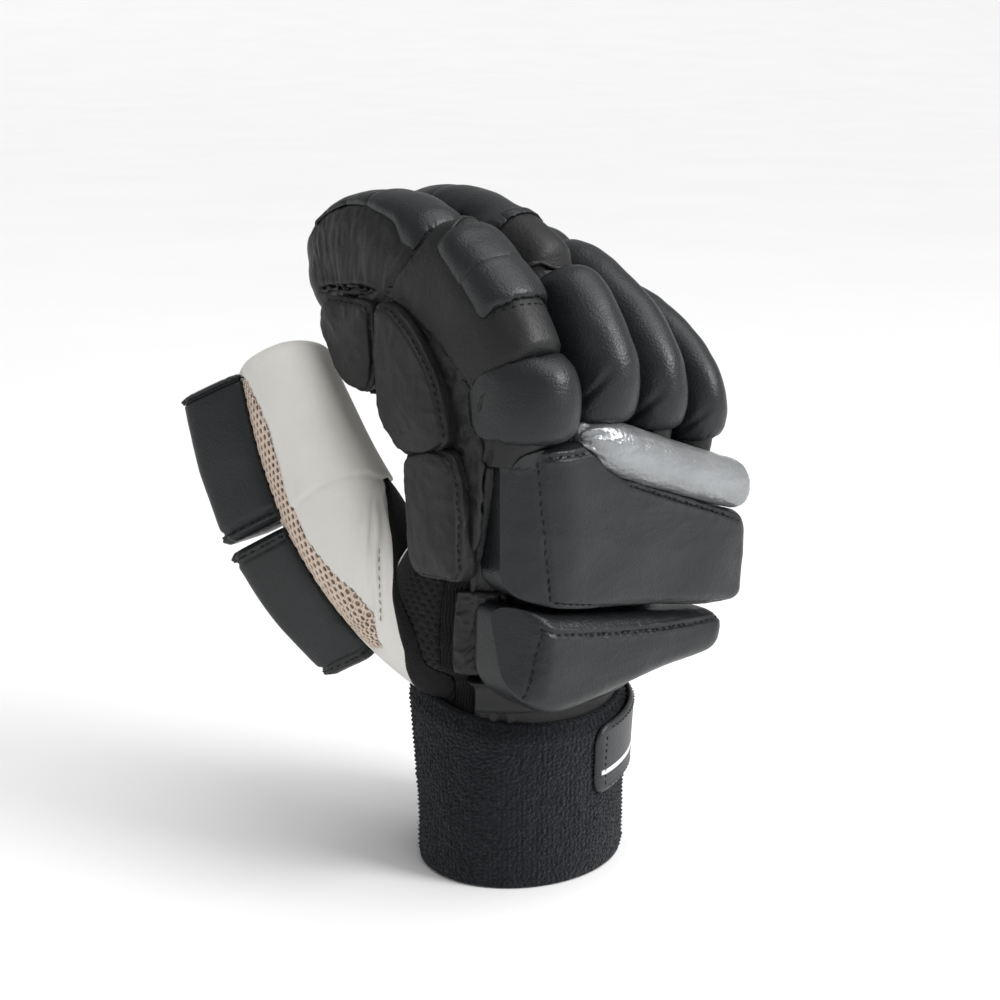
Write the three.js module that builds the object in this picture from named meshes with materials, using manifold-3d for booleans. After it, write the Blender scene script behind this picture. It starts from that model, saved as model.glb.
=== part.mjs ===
// Right-hand cricket batting glove, standing on its wristband. Millimetres, Z up.
// X runs from the thumb side (-) to the little finger side (+).
// Y runs from the back of the hand (-) to the palm (+).
import * as THREE from "three";
import { mergeVertices } from "three/addons/utils/BufferGeometryUtils.js";
import Module from "manifold-3d";

const wasm = await Module();
wasm.setup();

// Shared sizes
const gap = 0.3; // air between neighbouring pieces
const wide = 0.5; // the same where one of them is cut by a coarser form
const leather = 2; // wall of the leather shells
const far = 400; // reach of the blocks that only cut

// The knitted wristband: an oval tube that flares to a top edge sloping up to the palm.
const cuff = { height: 68, slope: 0.2, wall: 3.8, halfWidth: 39.5, halfDepth: 35, flare: 3.5 };

// The hook-and-loop strap on the wristband, in degrees from the little finger side
// over the palm. It rises by the slant from its free end on the back of the hand.
const strap = { from: -81, to: 39, low: 32, high: 56, thickness: 2, slant: 8 };

// The fingers, from the thumb side. reach is how far a finger curls towards the
// palm and rise how far it stands above the knuckles, both to the middle of its tip.
const fingers = {
  index: { width: 29.5, depth: 40, bore: 18.5, reach: 84, rise: 59 },
  middle: { width: 27, depth: 39, bore: 18.5, reach: 88, rise: 63 },
  ring: { width: 24, depth: 36, bore: 17.5, reach: 82, rise: 54 },
  little: { width: 20.5, depth: 33, bore: 15.5, reach: 68, rise: 41 },
};
const fingerNames = Object.keys(fingers);
const fingerAir = 1.2; // between the sleeves of two fingers
const palmWall = 4; // of a finger, so that its bore lies nearer to the palm
const fingerSquareness = 2.5;
const knuckleWidth =
  fingerNames.reduce((sum, name) => sum + fingers[name].width, 0) +
  fingerAir * (fingerNames.length - 1);

// The hand: a hollow that leans towards the back of the hand as it rises.
const hand = {
  foot: 54, // height of its lower edge, inside the wristband
  air: 0.9, // between it and the wristband
  height: 108, // from there to the knuckles on the thumb side
  lean: 31,
  knuckleHalfDepth: 16.5,
  knuckleSlope: 0.14, // fall of the knuckle line per millimetre to the little finger
  squareness: 2.7,
  thumbRoot: 11, // bulge of the thumb's root
  thumbRootAngle: 148,
  thumbRootSpread: 34,
};

// Sections of the hand as shares: height of hand.height, lean of hand.lean, width and
// depth of the way from the wrist's half size to the knuckles', root of hand.thumbRoot.
const handSections = [
  { height: 0, lean: 0, width: 0, depth: 0, root: 0 },
  { height: 0.2, lean: 0.02, width: 0, depth: 0, root: 0 },
  { height: 0.28, lean: 0.12, width: 0.45, depth: 0.1, root: 0.62 },
  { height: 0.46, lean: 0.34, width: 0.72, depth: 0.3, root: 1 },
  { height: 0.62, lean: 0.56, width: 0.86, depth: 0.5, root: 0.9 },
  { height: 0.78, lean: 0.78, width: 0.93, depth: 0.72, root: 0.45 },
  { height: 1.08, lean: 1.04, width: 0.985, depth: 1, root: 0 },
];

// Panels of the hand's wall, in degrees from the little finger side over the palm.
const seam = 0.6; // degrees of air at a seam
const handPanels = {
  palm: { from: 6, to: 153 },
  mesh_gusset: { from: 153, to: 188 },
  elastic_panel: { from: 188, to: 203 },
  hand_back: { from: 203, to: 366 },
};

// Leather laid over the hand's wall: the creased flap beside the elastic, and the
// thin pad under the lowest block. Heights are shares of the hand's sections.
const sideFlap = { from: 198, to: 222, low: 0.315, high: 0.62, thickness: 2.4 };
const wristPad = { from: 206, to: 334, low: 0.1, high: 0.3, thickness: 7 };

// The curl of every finger: shares of its reach, rise, width and depth.
const curl = [
  { reach: 0, rise: -0.06, width: 1, depth: 0.86 },
  { reach: -0.04, rise: 0.3, width: 1, depth: 0.98 },
  { reach: 0.06, rise: 0.6, width: 1, depth: 1.03 },
  { reach: 0.29, rise: 0.86, width: 1, depth: 1.02 },
  { reach: 0.57, rise: 1, width: 0.98, depth: 1 },
  { reach: 0.82, rise: 1, width: 0.95, depth: 0.95 },
  { reach: 1, rise: 0.92, width: 0.88, depth: 0.84 },
];

// Padded rolls along the back of each finger: where each starts and ends as a share
// of the finger's length, and how far it stands above the sleeve.
const rollAir = 0.5;
const rolls = {
  index: [
    { from: 0.105, to: 0.25, high: 14.5, wide: 1, shoulder: 0.3 },
    { from: 0.345, to: 0.42, high: 10, wide: 0.96, shoulder: 0.6 },
    { from: 0.42, to: 0.5, high: 9, wide: 0.96, shoulder: 0.6 },
    { from: 0.54, to: 0.74, high: 6.5, wide: 1, shoulder: 0.62 },
    { from: 0.74, to: 0.83, high: 6, wide: 1, shoulder: 0.62 },
    { from: 0.83, to: 0.91, high: 5.5, wide: 1, shoulder: 0.62 },
    { from: 0.91, to: 0.99, high: 5, wide: 1, shoulder: 0.62 },
  ],
  middle: [
    { from: 0.15, to: 0.235, high: 13, wide: 1, shoulder: 0.3 },
    { from: 0.235, to: 0.41, high: 12, wide: 1, shoulder: 0.5 },
    { from: 0.54, to: 0.74, high: 7.5, wide: 1, shoulder: 0.62 },
    { from: 0.74, to: 0.83, high: 6.5, wide: 1, shoulder: 0.62 },
    { from: 0.83, to: 0.91, high: 6, wide: 1, shoulder: 0.62 },
    { from: 0.91, to: 0.99, high: 5.5, wide: 1, shoulder: 0.62 },
  ],
  ring: [
    { from: 0.15, to: 0.25, high: 13, wide: 1, shoulder: 0.3 },
    { from: 0.25, to: 0.6, high: 10.5, wide: 1, shoulder: 0.5 },
    { from: 0.61, to: 0.8, high: 7, wide: 1, shoulder: 0.62 },
    { from: 0.8, to: 0.98, high: 6, wide: 1, shoulder: 0.62 },
  ],
  little: [
    { from: 0.15, to: 0.27, high: 12, wide: 1, shoulder: 0.3 },
    { from: 0.27, to: 0.62, high: 9.5, wide: 1, shoulder: 0.5 },
    { from: 0.63, to: 0.96, high: 6, wide: 1, shoulder: 0.62 },
  ],
};

// Padding sewn into the sleeve itself, between two rolls on the back of the finger.
const padding = {
  index: { at: 0.285, spread: 0.055, high: 8.5 },
  middle: { at: 0.475, spread: 0.075, high: 7 },
};

// The flat wings that stand along the index finger on the thumb side. Corners are
// shares of the index finger's reach and rise, from the knuckle.
const wings = {
  thickness: 9,
  inset: 4, // of it that lies beside the finger, the rest stands out
  bevel: 2.5,
  index_wing_tip: [
    [0.82, 0.7], [0.83, 0.62], [0.74, 0.42], [0.66, 0.35], [0.57, 0.34], [0.485, 0.38],
    [0.48, 0.62], [0.5, 0.72],
  ],
  index_wing_middle: [
    [0.47, 0.68], [0.465, 0.5], [0.44, 0.24], [0.41, 0.14], [0.3, 0.03], [0.12, 0.08],
    [0.05, 0.16], [0.1, 0.34], [0.22, 0.53], [0.32, 0.64], [0.4, 0.74],
  ],
  index_wing_base: [
    [0.27, -0.02], [0.26, -0.18], [0.24, -0.58], [0.2, -0.69], [-0.1, -0.65], [-0.08, -0.4],
    [-0.05, -0.1], [0, 0.05], [0.1, 0.06],
  ],
};

// The blocks over the back of the hand. Corners are shares of the block's width
// from its thumb end and of its height from its foot.
const backBlock = {
  left: -46.5, width: 105.5, foot: 113, height: 54, face: -57.5, back: -30,
  bevel: 3.5, endSlant: 12.5, slantDepth: 14,
  corners: [
    [0, 0.12], [0.13, 0], [0.98, -0.27], [1, 0.28], [0.5, 0.66], [0.4, 0.76],
    [0.31, 1.02], [0, 0.99],
  ],
};
const wristBlock = {
  left: -46.5, width: 97, foot: 79, height: 33, face: -56, back: -26,
  bevel: 6, endSlant: 11, slantDepth: 18,
  corners: [
    [0, 0.24], [0.12, 0], [0.98, 0.12], [1, 0.52], [0.13, 0.99], [0, 1.1],
  ],
};

// The silver bar over the knuckles: shares along its run, and its half height.
const knuckleBar = {
  left: -21, right: 57, high: 166, fall: 24, middle: -52, deep: 1.1,
  sections: [
    { along: 0, rise: 0.1, radius: 3 },
    { along: 0.05, rise: 0.06, radius: 6.5 },
    { along: 0.16, rise: -0.06, radius: 9.6 },
    { along: 0.34, rise: -0.28, radius: 9.8 },
    { along: 0.62, rise: -0.62, radius: 8.8 },
    { along: 0.9, rise: -0.95, radius: 8 },
    { along: 0.97, rise: -1.02, radius: 6.8 },
    { along: 1, rise: -1.05, radius: 3.5 },
  ],
};

// The thumb: from its root inside the hand to the middle of its tip. Sections are
// shares of the way out (X), of its reach (Y), of its rise, and of its half sizes.
const thumb = {
  root: new THREE.Vector3(-24, 4, 74),
  out: 37,
  reach: 54,
  rise: 108,
  halfWidth: 18,
  halfDepth: 18.5,
  wall: 2.6,
  facing: 25, // degrees that its palm side turns to the little finger
  sections: [
    { out: 0, reach: 0, rise: 0, width: 0.8, depth: 0.8 },
    { out: 0.5, reach: 0.2, rise: 0.24, width: 0.96, depth: 1.05 },
    { out: 0.84, reach: 0.46, rise: 0.5, width: 1, depth: 1.12 },
    { out: 0.97, reach: 0.73, rise: 0.75, width: 1, depth: 1.04 },
    { out: 1, reach: 1, rise: 1, width: 0.94, depth: 0.86 },
  ],
};
const thumbMesh = { from: -46, to: -6, thickness: 1.4, low: 0.12, high: 0.97 };

// The two guards on the thumb's back, from and to as shares of the thumb's length.
const thumbGuards = {
  thickness: 21.5,
  seat: 6, // how far their sides reach down beside the sleeve
  halfWidth: 16,
  squareness: 6,
  thumb_guard_base: { from: 0.2, to: 0.58 },
  thumb_guard_tip: { from: 0.6, to: 1.02 },
};

const colours = {
  black: { color: "#1d1e20", roughness: 0.55, metalness: 0 },
  side: { color: "#232325", roughness: 0.65, metalness: 0 },
  silver: { color: "#8b8c8e", roughness: 0.35, metalness: 0.5 },
  white: { color: "#c9c6bd", roughness: 0.6, metalness: 0 },
  net: { color: "#cdbcae", roughness: 0.8, metalness: 0 },
  knit: { color: "#101113", roughness: 0.95, metalness: 0 },
  terry: { color: "#131417", roughness: 1, metalness: 0 },
};

// Turns a closed three.js geometry into a solid that can be cut and joined.
function solidOf(geometry) {
  const bare = geometry.index ? geometry.toNonIndexed() : geometry.clone();
  bare.deleteAttribute("normal");
  bare.deleteAttribute("uv");
  const merged = mergeVertices(bare, 1e-4);
  return new wasm.Manifold(
    new wasm.Mesh({
      numProp: 3,
      vertProperties: new Float32Array(merged.attributes.position.array),
      triVerts: new Uint32Array(merged.index.array),
    }),
  );
}

// The largest body of a cut solid, without the slivers that a cut may leave.
function largest(solid) {
  return solid.decompose().reduce((a, b) => (a.volume() > b.volume() ? a : b));
}

// A closed solid through rings of points. The end caps are fans round the middle, or
// strips across when each ring runs out along one side and back along the other.
function loftRings(rings, cap = "fan") {
  const count = rings[0].length;
  const points = rings.flat();
  const faces = [];
  for (let i = 0; i < rings.length - 1; i++) {
    for (let j = 0; j < count; j++) {
      const here = i * count + j;
      const next = i * count + ((j + 1) % count);
      faces.push(here, next, next + count, here, next + count, here + count);
    }
  }
  for (const [start, turn] of [[0, 1], [(rings.length - 1) * count, 0]]) {
    const face = (a, b, c) => (turn ? faces.push(a, c, b) : faces.push(a, b, c));
    if (cap === "fan") {
      const ring = points.slice(start, start + count);
      const sum = ring.reduce((total, p) => total.add(p), new THREE.Vector3());
      points.push(sum.divideScalar(count));
      for (let j = 0; j < count; j++) {
        face(points.length - 1, start + j, start + ((j + 1) % count));
      }
    } else {
      for (let j = 0; j < count / 2 - 1; j++) {
        const [a, b] = [start + j, start + j + 1];
        const [c, d] = [start + count - 2 - j, start + count - 1 - j];
        face(a, b, c);
        face(a, c, d);
      }
    }
  }
  const geometry = new THREE.BufferGeometry().setFromPoints(points);
  geometry.setIndex(faces);
  return solidOf(geometry);
}

// A point of a rounded outline: an ellipse at squareness 2, boxier above it.
function outline(halfWidth, halfDepth, degrees, squareness = 2) {
  const t = THREE.MathUtils.degToRad(degrees);
  const bend = (v) => Math.sign(v) * Math.abs(v) ** (2 / squareness);
  return new THREE.Vector2(halfWidth * bend(Math.cos(t)), halfDepth * bend(Math.sin(t)));
}

// Reads a table at a share from 0 to 1 of its rows, along a smooth curve.
function readTable(rows, share) {
  const at = THREE.MathUtils.clamp(share, 0, 1) * (rows.length - 1);
  const i = Math.min(Math.floor(at), rows.length - 2);
  const t = at - i;
  const row = (k) => rows[THREE.MathUtils.clamp(k, 0, rows.length - 1)];
  const read = (name) => {
    const [a, b, c, d] = [row(i - 1), row(i), row(i + 1), row(i + 2)].map((r) => r[name]);
    const leave = (c - a) / 2;
    const arrive = (d - b) / 2;
    const bend = 3 * (c - b) - 2 * leave - arrive;
    return b + leave * t + bend * t ** 2 + (2 * (b - c) + leave + arrive) * t ** 3;
  };
  return Object.fromEntries(Object.keys(rows[0]).map((name) => [name, read(name)]));
}

const steps = (count) => Array.from({ length: count + 1 }, (_, k) => k / count);

function ringAngles(count) {
  return Array.from({ length: count }, (_, k) => (360 * k) / count);
}

// A block that cuts everything above a sloping plane, z = height + slopeX x + slopeY y.
function above(height, slopeX, slopeY) {
  const corner = (x, y, z) => new THREE.Vector3(x, y, z);
  const low = [[-far, -far], [far, -far], [far, far], [-far, far]].map(([x, y]) =>
    corner(x, y, height + slopeX * x + slopeY * y),
  );
  return loftRings([low, low.map((p) => corner(p.x, p.y, p.z + 2 * far))]);
}

// Wristband
function cuffPoint(z, degrees, offset) {
  const flare = cuff.flare * (Math.max(0, z) / cuff.height) ** 2;
  const halfWidth = cuff.halfWidth + flare + offset;
  const halfDepth = cuff.halfDepth + flare / 2 + offset;
  const p = outline(halfWidth, halfDepth, degrees);
  return new THREE.Vector3(p.x, p.y, z);
}

function cuffForm(offset, low, high) {
  return loftRings(
    steps(3).map((t) =>
      ringAngles(32).map((a) => cuffPoint(THREE.MathUtils.lerp(low, high, t), a, offset)),
    ),
  );
}

const aboveCuff = (lift) => above(cuff.height + lift, 0, cuff.slope);

// The wristband without its hollow, with air all round.
function cuffSolid() {
  return cuffForm(gap, -5, 2 * cuff.height).subtract(aboveCuff(gap));
}

function makeCuff() {
  const tall = cuff.height + cuff.slope * cuff.halfDepth * 2;
  const tube = cuffForm(0, 0, tall).subtract(cuffForm(-cuff.wall, -5, tall + 5));
  return tube.subtract(aboveCuff(0));
}

function makeStrap() {
  const offset = (out) => (share, degrees) => {
    const slant = (strap.slant * (degrees - strap.from)) / (strap.to - strap.from);
    const z = THREE.MathUtils.lerp(strap.low, strap.high, share) + slant;
    return cuffPoint(z, degrees, out);
  };
  return platePanel(strap, offset(2 * gap), offset(2 * gap + strap.thickness), steps(1));
}

// A curved plate between an inner and an outer surface, each a function of a share of
// the height and an angle.
function platePanel(panel, inner, outer, shares) {
  const angles = spread(panel);
  const rings = shares.map((share) => [
    ...angles.map((a) => outer(share, a)),
    ...angles.toReversed().map((a) => inner(share, a)),
  ]);
  return loftRings(rings, "strip");
}

// The angles of a panel's corners, about twelve degrees apart.
function spread({ from, to }) {
  const count = Math.max(2, Math.round((to - from) / 12));
  return steps(count).map((t) => THREE.MathUtils.lerp(from, to, t));
}

// Hand
function handPoint(share, degrees, offset) {
  const row = readTable(handSections, share);
  const wrist = cuffPoint(hand.foot, 0, -cuff.wall - hand.air).x;
  const wristDepth = cuffPoint(hand.foot, 90, -cuff.wall - hand.air).y;
  const halfWidth = THREE.MathUtils.lerp(wrist, knuckleWidth / 2, row.width);
  const halfDepth = THREE.MathUtils.lerp(wristDepth, hand.knuckleHalfDepth, row.depth);
  const square = THREE.MathUtils.lerp(2, hand.squareness, Math.min(1, row.height * 3));
  const p = outline(halfWidth + offset, halfDepth + offset, degrees, square);
  const off = (degrees - hand.thumbRootAngle) / hand.thumbRootSpread;
  const root = hand.thumbRoot * row.root * Math.exp(-off * off);
  const turn = THREE.MathUtils.degToRad(hand.thumbRootAngle);
  const z = hand.foot + row.height * hand.height;
  const y = p.y - row.lean * hand.lean + root * Math.sin(turn);
  return new THREE.Vector3(p.x + root * Math.cos(turn), y, z);
}

const handShares = steps(7);
const sewnPanel = ({ from, to }) => ({ from: from + seam / 2, to: to - seam / 2 });

// The whole hand as one solid, with the corners that its panels have. stretch carries
// it on beyond the knuckles.
function handForm(offset, stretch = 0) {
  const angles = Object.values(handPanels).flatMap((panel) => spread(sewnPanel(panel)));
  const rings = handShares.map((share) => angles.map((a) => handPoint(share, a, offset)));
  if (stretch) rings.push(rings.at(-1).map((p) => p.clone().setZ(p.z + stretch)));
  return loftRings(rings);
}

const knuckleHeight = (x) =>
  hand.foot + hand.height - hand.knuckleSlope * (x + knuckleWidth / 2);
const aboveKnuckles = (lift) => above(knuckleHeight(0) + lift, -hand.knuckleSlope, 0);

function makeHandPanel(name) {
  const at = (offset) => (share, degrees) => handPoint(share, degrees, offset);
  const wall = platePanel(sewnPanel(handPanels[name]), at(-leather), at(0), handShares);
  return wall.subtract(aboveKnuckles(0)).subtract(thumbForm(-thumb.wall));
}

function makeHandOverlay({ from, to, low, high, thickness }) {
  const at = (offset) => (share, degrees) =>
    handPoint(THREE.MathUtils.lerp(low, high, share), degrees, offset);
  const plate = platePanel({ from, to }, at(-1), at(gap + thickness), steps(3));
  const cut = plate.subtract(handForm(gap)).subtract(cuffSolid());
  return largest(cut.subtract(blockForm(wristBlock, gap)));
}

// Fingers
function fingerX(name) {
  const before = fingerNames.slice(0, fingerNames.indexOf(name));
  const start = before.reduce((sum, n) => sum + fingers[n].width + fingerAir, 0);
  return -knuckleWidth / 2 + start + fingers[name].width / 2;
}

// The middle of a finger, its direction and its half sizes, at a share of its length.
function fingerSection(name, share) {
  const finger = fingers[name];
  const place = (s) => {
    const row = readTable(curl, s);
    return new THREE.Vector3(
      fingerX(name),
      row.reach * finger.reach - hand.lean,
      row.rise * finger.rise + knuckleHeight(fingerX(name)),
    );
  };
  const step = 0.02;
  const along = place(share + step).sub(place(share - step)).normalize();
  const row = readTable(curl, share);
  return {
    centre: place(share),
    along,
    back: new THREE.Vector3(0, -along.z, along.y),
    halfWidth: (row.width * finger.width) / 2,
    halfDepth: (row.depth * finger.depth) / 2,
  };
}

// A point beside a section's middle: across the finger, and towards its back.
function besides({ centre, back }, across, high) {
  return centre.clone().addScaledVector(back, high).add(new THREE.Vector3(across, 0, 0));
}

// Rings round a dome that closes the end of a tube.
const dome = [0.5, 0.82, 0.97].map((t) => ({
  out: t,
  size: Math.sqrt(1 - t * t),
}));

function sleeveForm(name, offset, count = 12) {
  const ring = (section, size) =>
    ringAngles(count).map((a) => {
      const { halfWidth, halfDepth } = section;
      const width = (halfWidth + offset) * size;
      const p = outline(width, (halfDepth + offset) * size, a, fingerSquareness);
      return besides(section, -p.x, p.y + Math.max(0, p.y / halfDepth) * (section.pad ?? 0));
    });
  const { at, spread, high } = padding[name] ?? { at: 0, spread: 1, high: 0 };
  const rings = steps(10).map((t) => {
    const pad = high * Math.exp(-(((t - at) / spread) ** 2));
    return ring({ ...fingerSection(name, t), pad }, 1);
  });
  const tip = fingerSection(name, 1);
  for (const { out, size } of dome) {
    const length = (tip.halfDepth * 0.75 + offset) * out;
    const centre = tip.centre.clone().addScaledVector(tip.along, length);
    rings.push(ring({ ...tip, centre }, size));
  }
  return loftRings(rings);
}

function boreForm(name) {
  const radius = fingers[name].bore / 2;
  const ring = (section, size, shift = 0) =>
    ringAngles(8).map((a) => {
      const p = outline(radius * size, radius * size, a);
      const low = section.halfDepth - palmWall - radius;
      const at = besides(section, -p.x, p.y - low);
      return at.addScaledVector(section.along, shift);
    });
  const start = fingerSection(name, 0);
  const rings = [ring(start, 1, -12), ...steps(6).map((t) => ring(fingerSection(name, t), 1))];
  for (const { out, size } of dome) {
    rings.push(ring(fingerSection(name, 1), size, out * radius * 0.7));
  }
  return loftRings(rings);
}

function makeSleeve(name) {
  const below = above(-far, 0, 0).subtract(aboveKnuckles(gap));
  return sleeveForm(name, 0).subtract(boreForm(name)).subtract(below);
}

// A roll is a pillow that straddles the back of its sleeve.
function rollForm(name, { from, to, high, wide, shoulder }) {
  const ends = [0, 0.12, 0.5, 0.88, 1];
  const air = rollAir / 2 / fingers[name].reach;
  const pitch = fingers[name].width + fingerAir - gap;
  const rings = ends.map((t) => {
    const section = fingerSection(name, THREE.MathUtils.lerp(from + air, to - air, t));
    const size = Math.sqrt(1 - 0.75 * Math.abs(2 * t - 1) ** 4);
    const narrow = section.halfWidth / (fingers[name].width / 2);
    const width = (pitch / 2) * wide * narrow * (0.7 + 0.3 * size);
    const foot = section.halfDepth * shoulder;
    const up = (section.halfDepth + high - foot) * size;
    return ringAngles(12).map((a) => {
      const p = outline(width, up, a, 2.2);
      return besides(section, -p.x, foot + p.y);
    });
  });
  return loftRings(rings);
}

function makeRoll(name, row) {
  const cut = sleeveForm(name, gap).add(barForm(wide)).add(blockForm(backBlock, gap));
  const pillow = rollForm(name, row).subtract(cut);
  return largest(pillow.subtract(handForm(gap).subtract(aboveKnuckles(gap))));
}

// A flat pad: an outline with bevelled edges, given in a plane and then placed. Its
// outline grows by grow.
function padForm(corners, thickness, bevel, segments = 2, grow = 0) {
  const shape = new THREE.Shape(corners.map(([x, y]) => new THREE.Vector2(x, y)));
  const geometry = new THREE.ExtrudeGeometry(shape, {
    depth: thickness - 2 * bevel,
    bevelEnabled: true,
    bevelThickness: bevel,
    bevelSize: bevel,
    bevelOffset: grow - bevel,
    bevelSegments: segments,
    steps: 1,
  });
  geometry.translate(0, 0, bevel);
  return geometry;
}

const fromPlane = (right, up) => {
  const out = new THREE.Vector3().crossVectors(right, up);
  return new THREE.Matrix4().makeBasis(right, up, out);
};
const sideways = fromPlane(new THREE.Vector3(0, -1, 0), new THREE.Vector3(0, 0, 1));
const facingBack = fromPlane(new THREE.Vector3(1, 0, 0), new THREE.Vector3(0, 0, 1));

function makeWing(name) {
  const { reach, rise } = fingers.index;
  const knuckle = knuckleHeight(fingerX("index"));
  const corners = wings[name].map(([r, s]) => [hand.lean - r * reach, s * rise + knuckle]);
  const geometry = padForm(corners, wings.thickness, wings.bevel);
  geometry.applyMatrix4(sideways);
  geometry.translate(-knuckleWidth / 2 + wings.inset, 0, 0);
  const pad = solidOf(geometry).subtract(sleeveForm("index", gap));
  return largest(pad.subtract(handForm(gap).subtract(aboveKnuckles(gap))));
}

// A block with a slanted thumb end, grown all round by grow.
function blockForm(block, grow) {
  const corners = block.corners.map(([across, up]) => [
    block.left + across * block.width,
    block.foot + up * block.height,
  ]);
  const { left, face, back, bevel, endSlant, slantDepth } = block;
  const geometry = padForm(corners, back - face + 2 * grow, bevel, 3, grow);
  geometry.applyMatrix4(facingBack);
  geometry.translate(0, back + grow, 0);
  const slope = slantDepth / endSlant;
  const cut = new THREE.Shape([
    new THREE.Vector2(left + endSlant + 1, face - slope),
    new THREE.Vector2(left - endSlant, face + 2 * slantDepth),
    new THREE.Vector2(left - far, face + 2 * slantDepth),
    new THREE.Vector2(left - far, face - slope),
  ]);
  const wedge = new THREE.ExtrudeGeometry(cut, { depth: far, bevelEnabled: false });
  wedge.translate(-grow, -grow, 0);
  return solidOf(geometry).subtract(solidOf(wedge));
}

const wristBlockSolid = () => blockForm(wristBlock, 0).subtract(handForm(gap, 8));

function backBlockSolid() {
  const fingersHere = sleeveForm("index", gap).add(sleeveForm("middle", gap));
  const cut = handForm(gap, 8).add(barForm(wide)).add(fingersHere);
  return blockForm(backBlock, 0).subtract(cut);
}

function barForm(offset) {
  const { left, right, high, fall, middle, sections, deep } = knuckleBar;
  const rings = sections.map(({ along, rise, radius }, k) =>
    ringAngles(12).map((a) => {
      const p = outline(radius * deep + offset, radius + offset, a, 2.3);
      const beyond = offset * Math.sign(2 * k - sections.length + 1);
      const x = THREE.MathUtils.lerp(left, right, along) + beyond;
      return new THREE.Vector3(x, middle + p.x, high + rise * fall + p.y);
    }),
  );
  return loftRings(rings);
}

function makeBar() {
  let bar = barForm(0).subtract(handForm(gap, 8));
  for (const name of fingerNames) {
    bar = bar.subtract(sleeveForm(name, gap));
  }
  return largest(bar);
}

// Thumb
const thumbTurn = THREE.MathUtils.degToRad(thumb.facing);
const palmSide = new THREE.Vector3(Math.sin(thumbTurn), -Math.cos(thumbTurn), 0);

function thumbSection(share) {
  const place = (s) => {
    const row = readTable(thumb.sections, s);
    const way = new THREE.Vector3(-thumb.out * row.out, thumb.reach * row.reach, 0);
    return way.add(thumb.root).setZ(thumb.root.z + thumb.rise * row.rise);
  };
  const row = readTable(thumb.sections, share);
  const along = place(share + 0.03).sub(place(share - 0.03)).normalize();
  const across = new THREE.Vector3().crossVectors(palmSide, along).normalize();
  return {
    centre: place(share),
    along,
    across,
    front: new THREE.Vector3().crossVectors(along, across),
    halfWidth: thumb.halfWidth * row.width,
    halfDepth: thumb.halfDepth * row.depth,
  };
}

function thumbPoint(section, offset, degrees, size = 1) {
  const width = (section.halfWidth + offset) * size;
  const p = outline(width, (section.halfDepth + offset) * size, degrees, 2.3);
  const point = section.centre.clone().addScaledVector(section.across, p.x);
  return point.addScaledVector(section.front, p.y);
}

function thumbForm(offset) {
  const ring = (section, size) =>
    ringAngles(16).map((a) => thumbPoint(section, offset, a, size));
  const rings = steps(7).map((t) => ring(thumbSection(t), 1));
  const tip = thumbSection(1);
  for (const { out, size } of dome) {
    const length = (tip.halfDepth * 0.5 + offset) * out;
    const centre = tip.centre.clone().addScaledVector(tip.along, length);
    rings.push(ring({ ...tip, centre }, size));
  }
  return loftRings(rings);
}

// The strip of net along the thumb, with air degrees more on either side.
function thumbStrip(inner, outer, air) {
  const { from, to, low, high } = thumbMesh;
  const at = (offset) => (share, degrees) => {
    const along = THREE.MathUtils.lerp(low - air / 100, high + air / 100, share);
    return thumbPoint(thumbSection(along), offset, degrees);
  };
  return platePanel({ from: from - air, to: to + air }, at(inner), at(outer), steps(7));
}

function makeThumbSleeve() {
  const tube = thumbForm(0).subtract(thumbForm(-thumb.wall));
  const recess = thumbStrip(-thumbMesh.thickness - gap, 2, 1.3);
  return largest(tube.subtract(handForm(gap)).subtract(cuffSolid()).subtract(recess));
}

function makeThumbMesh() {
  const strip = thumbStrip(-thumbMesh.thickness, 1, 0).intersect(thumbForm(0));
  return largest(strip.subtract(handForm(gap)).subtract(cuffSolid()));
}

// A guard: a block with rounded edges that follows the thumb's back.
function makeGuard(name) {
  const { thickness, seat, halfWidth, squareness } = thumbGuards;
  const { from, to } = thumbGuards[name];
  const half = (thickness + seat) / 2;
  const rings = [0, 0.05, 0.5, 0.95, 1].map((t) => {
    const share = THREE.MathUtils.lerp(from, to, t);
    const section = thumbSection(share);
    const beyond = Math.max(0, share - 1) * thumb.rise;
    const centre = section.centre.clone().addScaledVector(section.along, beyond);
    const size = t === 0 || t === 1 ? 0.84 : 1;
    return ringAngles(16).map((a) => {
      const p = outline(halfWidth * size, half * size, a + 360 / 32, squareness);
      const point = centre.clone().addScaledVector(section.across, p.x);
      return point.addScaledVector(section.front, p.y + seat - half - section.halfDepth);
    });
  });
  return largest(loftRings(rings).subtract(thumbForm(gap)).subtract(handForm(gap)));
}

const group = new THREE.Group();

function add(name, solid, look) {
  const { vertProperties, triVerts } = solid.getMesh();
  const geometry = new THREE.BufferGeometry();
  geometry.setAttribute("position", new THREE.BufferAttribute(vertProperties, 3));
  geometry.setIndex(new THREE.BufferAttribute(triVerts, 1));
  const mesh = new THREE.Mesh(geometry, new THREE.MeshStandardMaterial(colours[look]));
  mesh.name = name;
  group.add(mesh);
}

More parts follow.
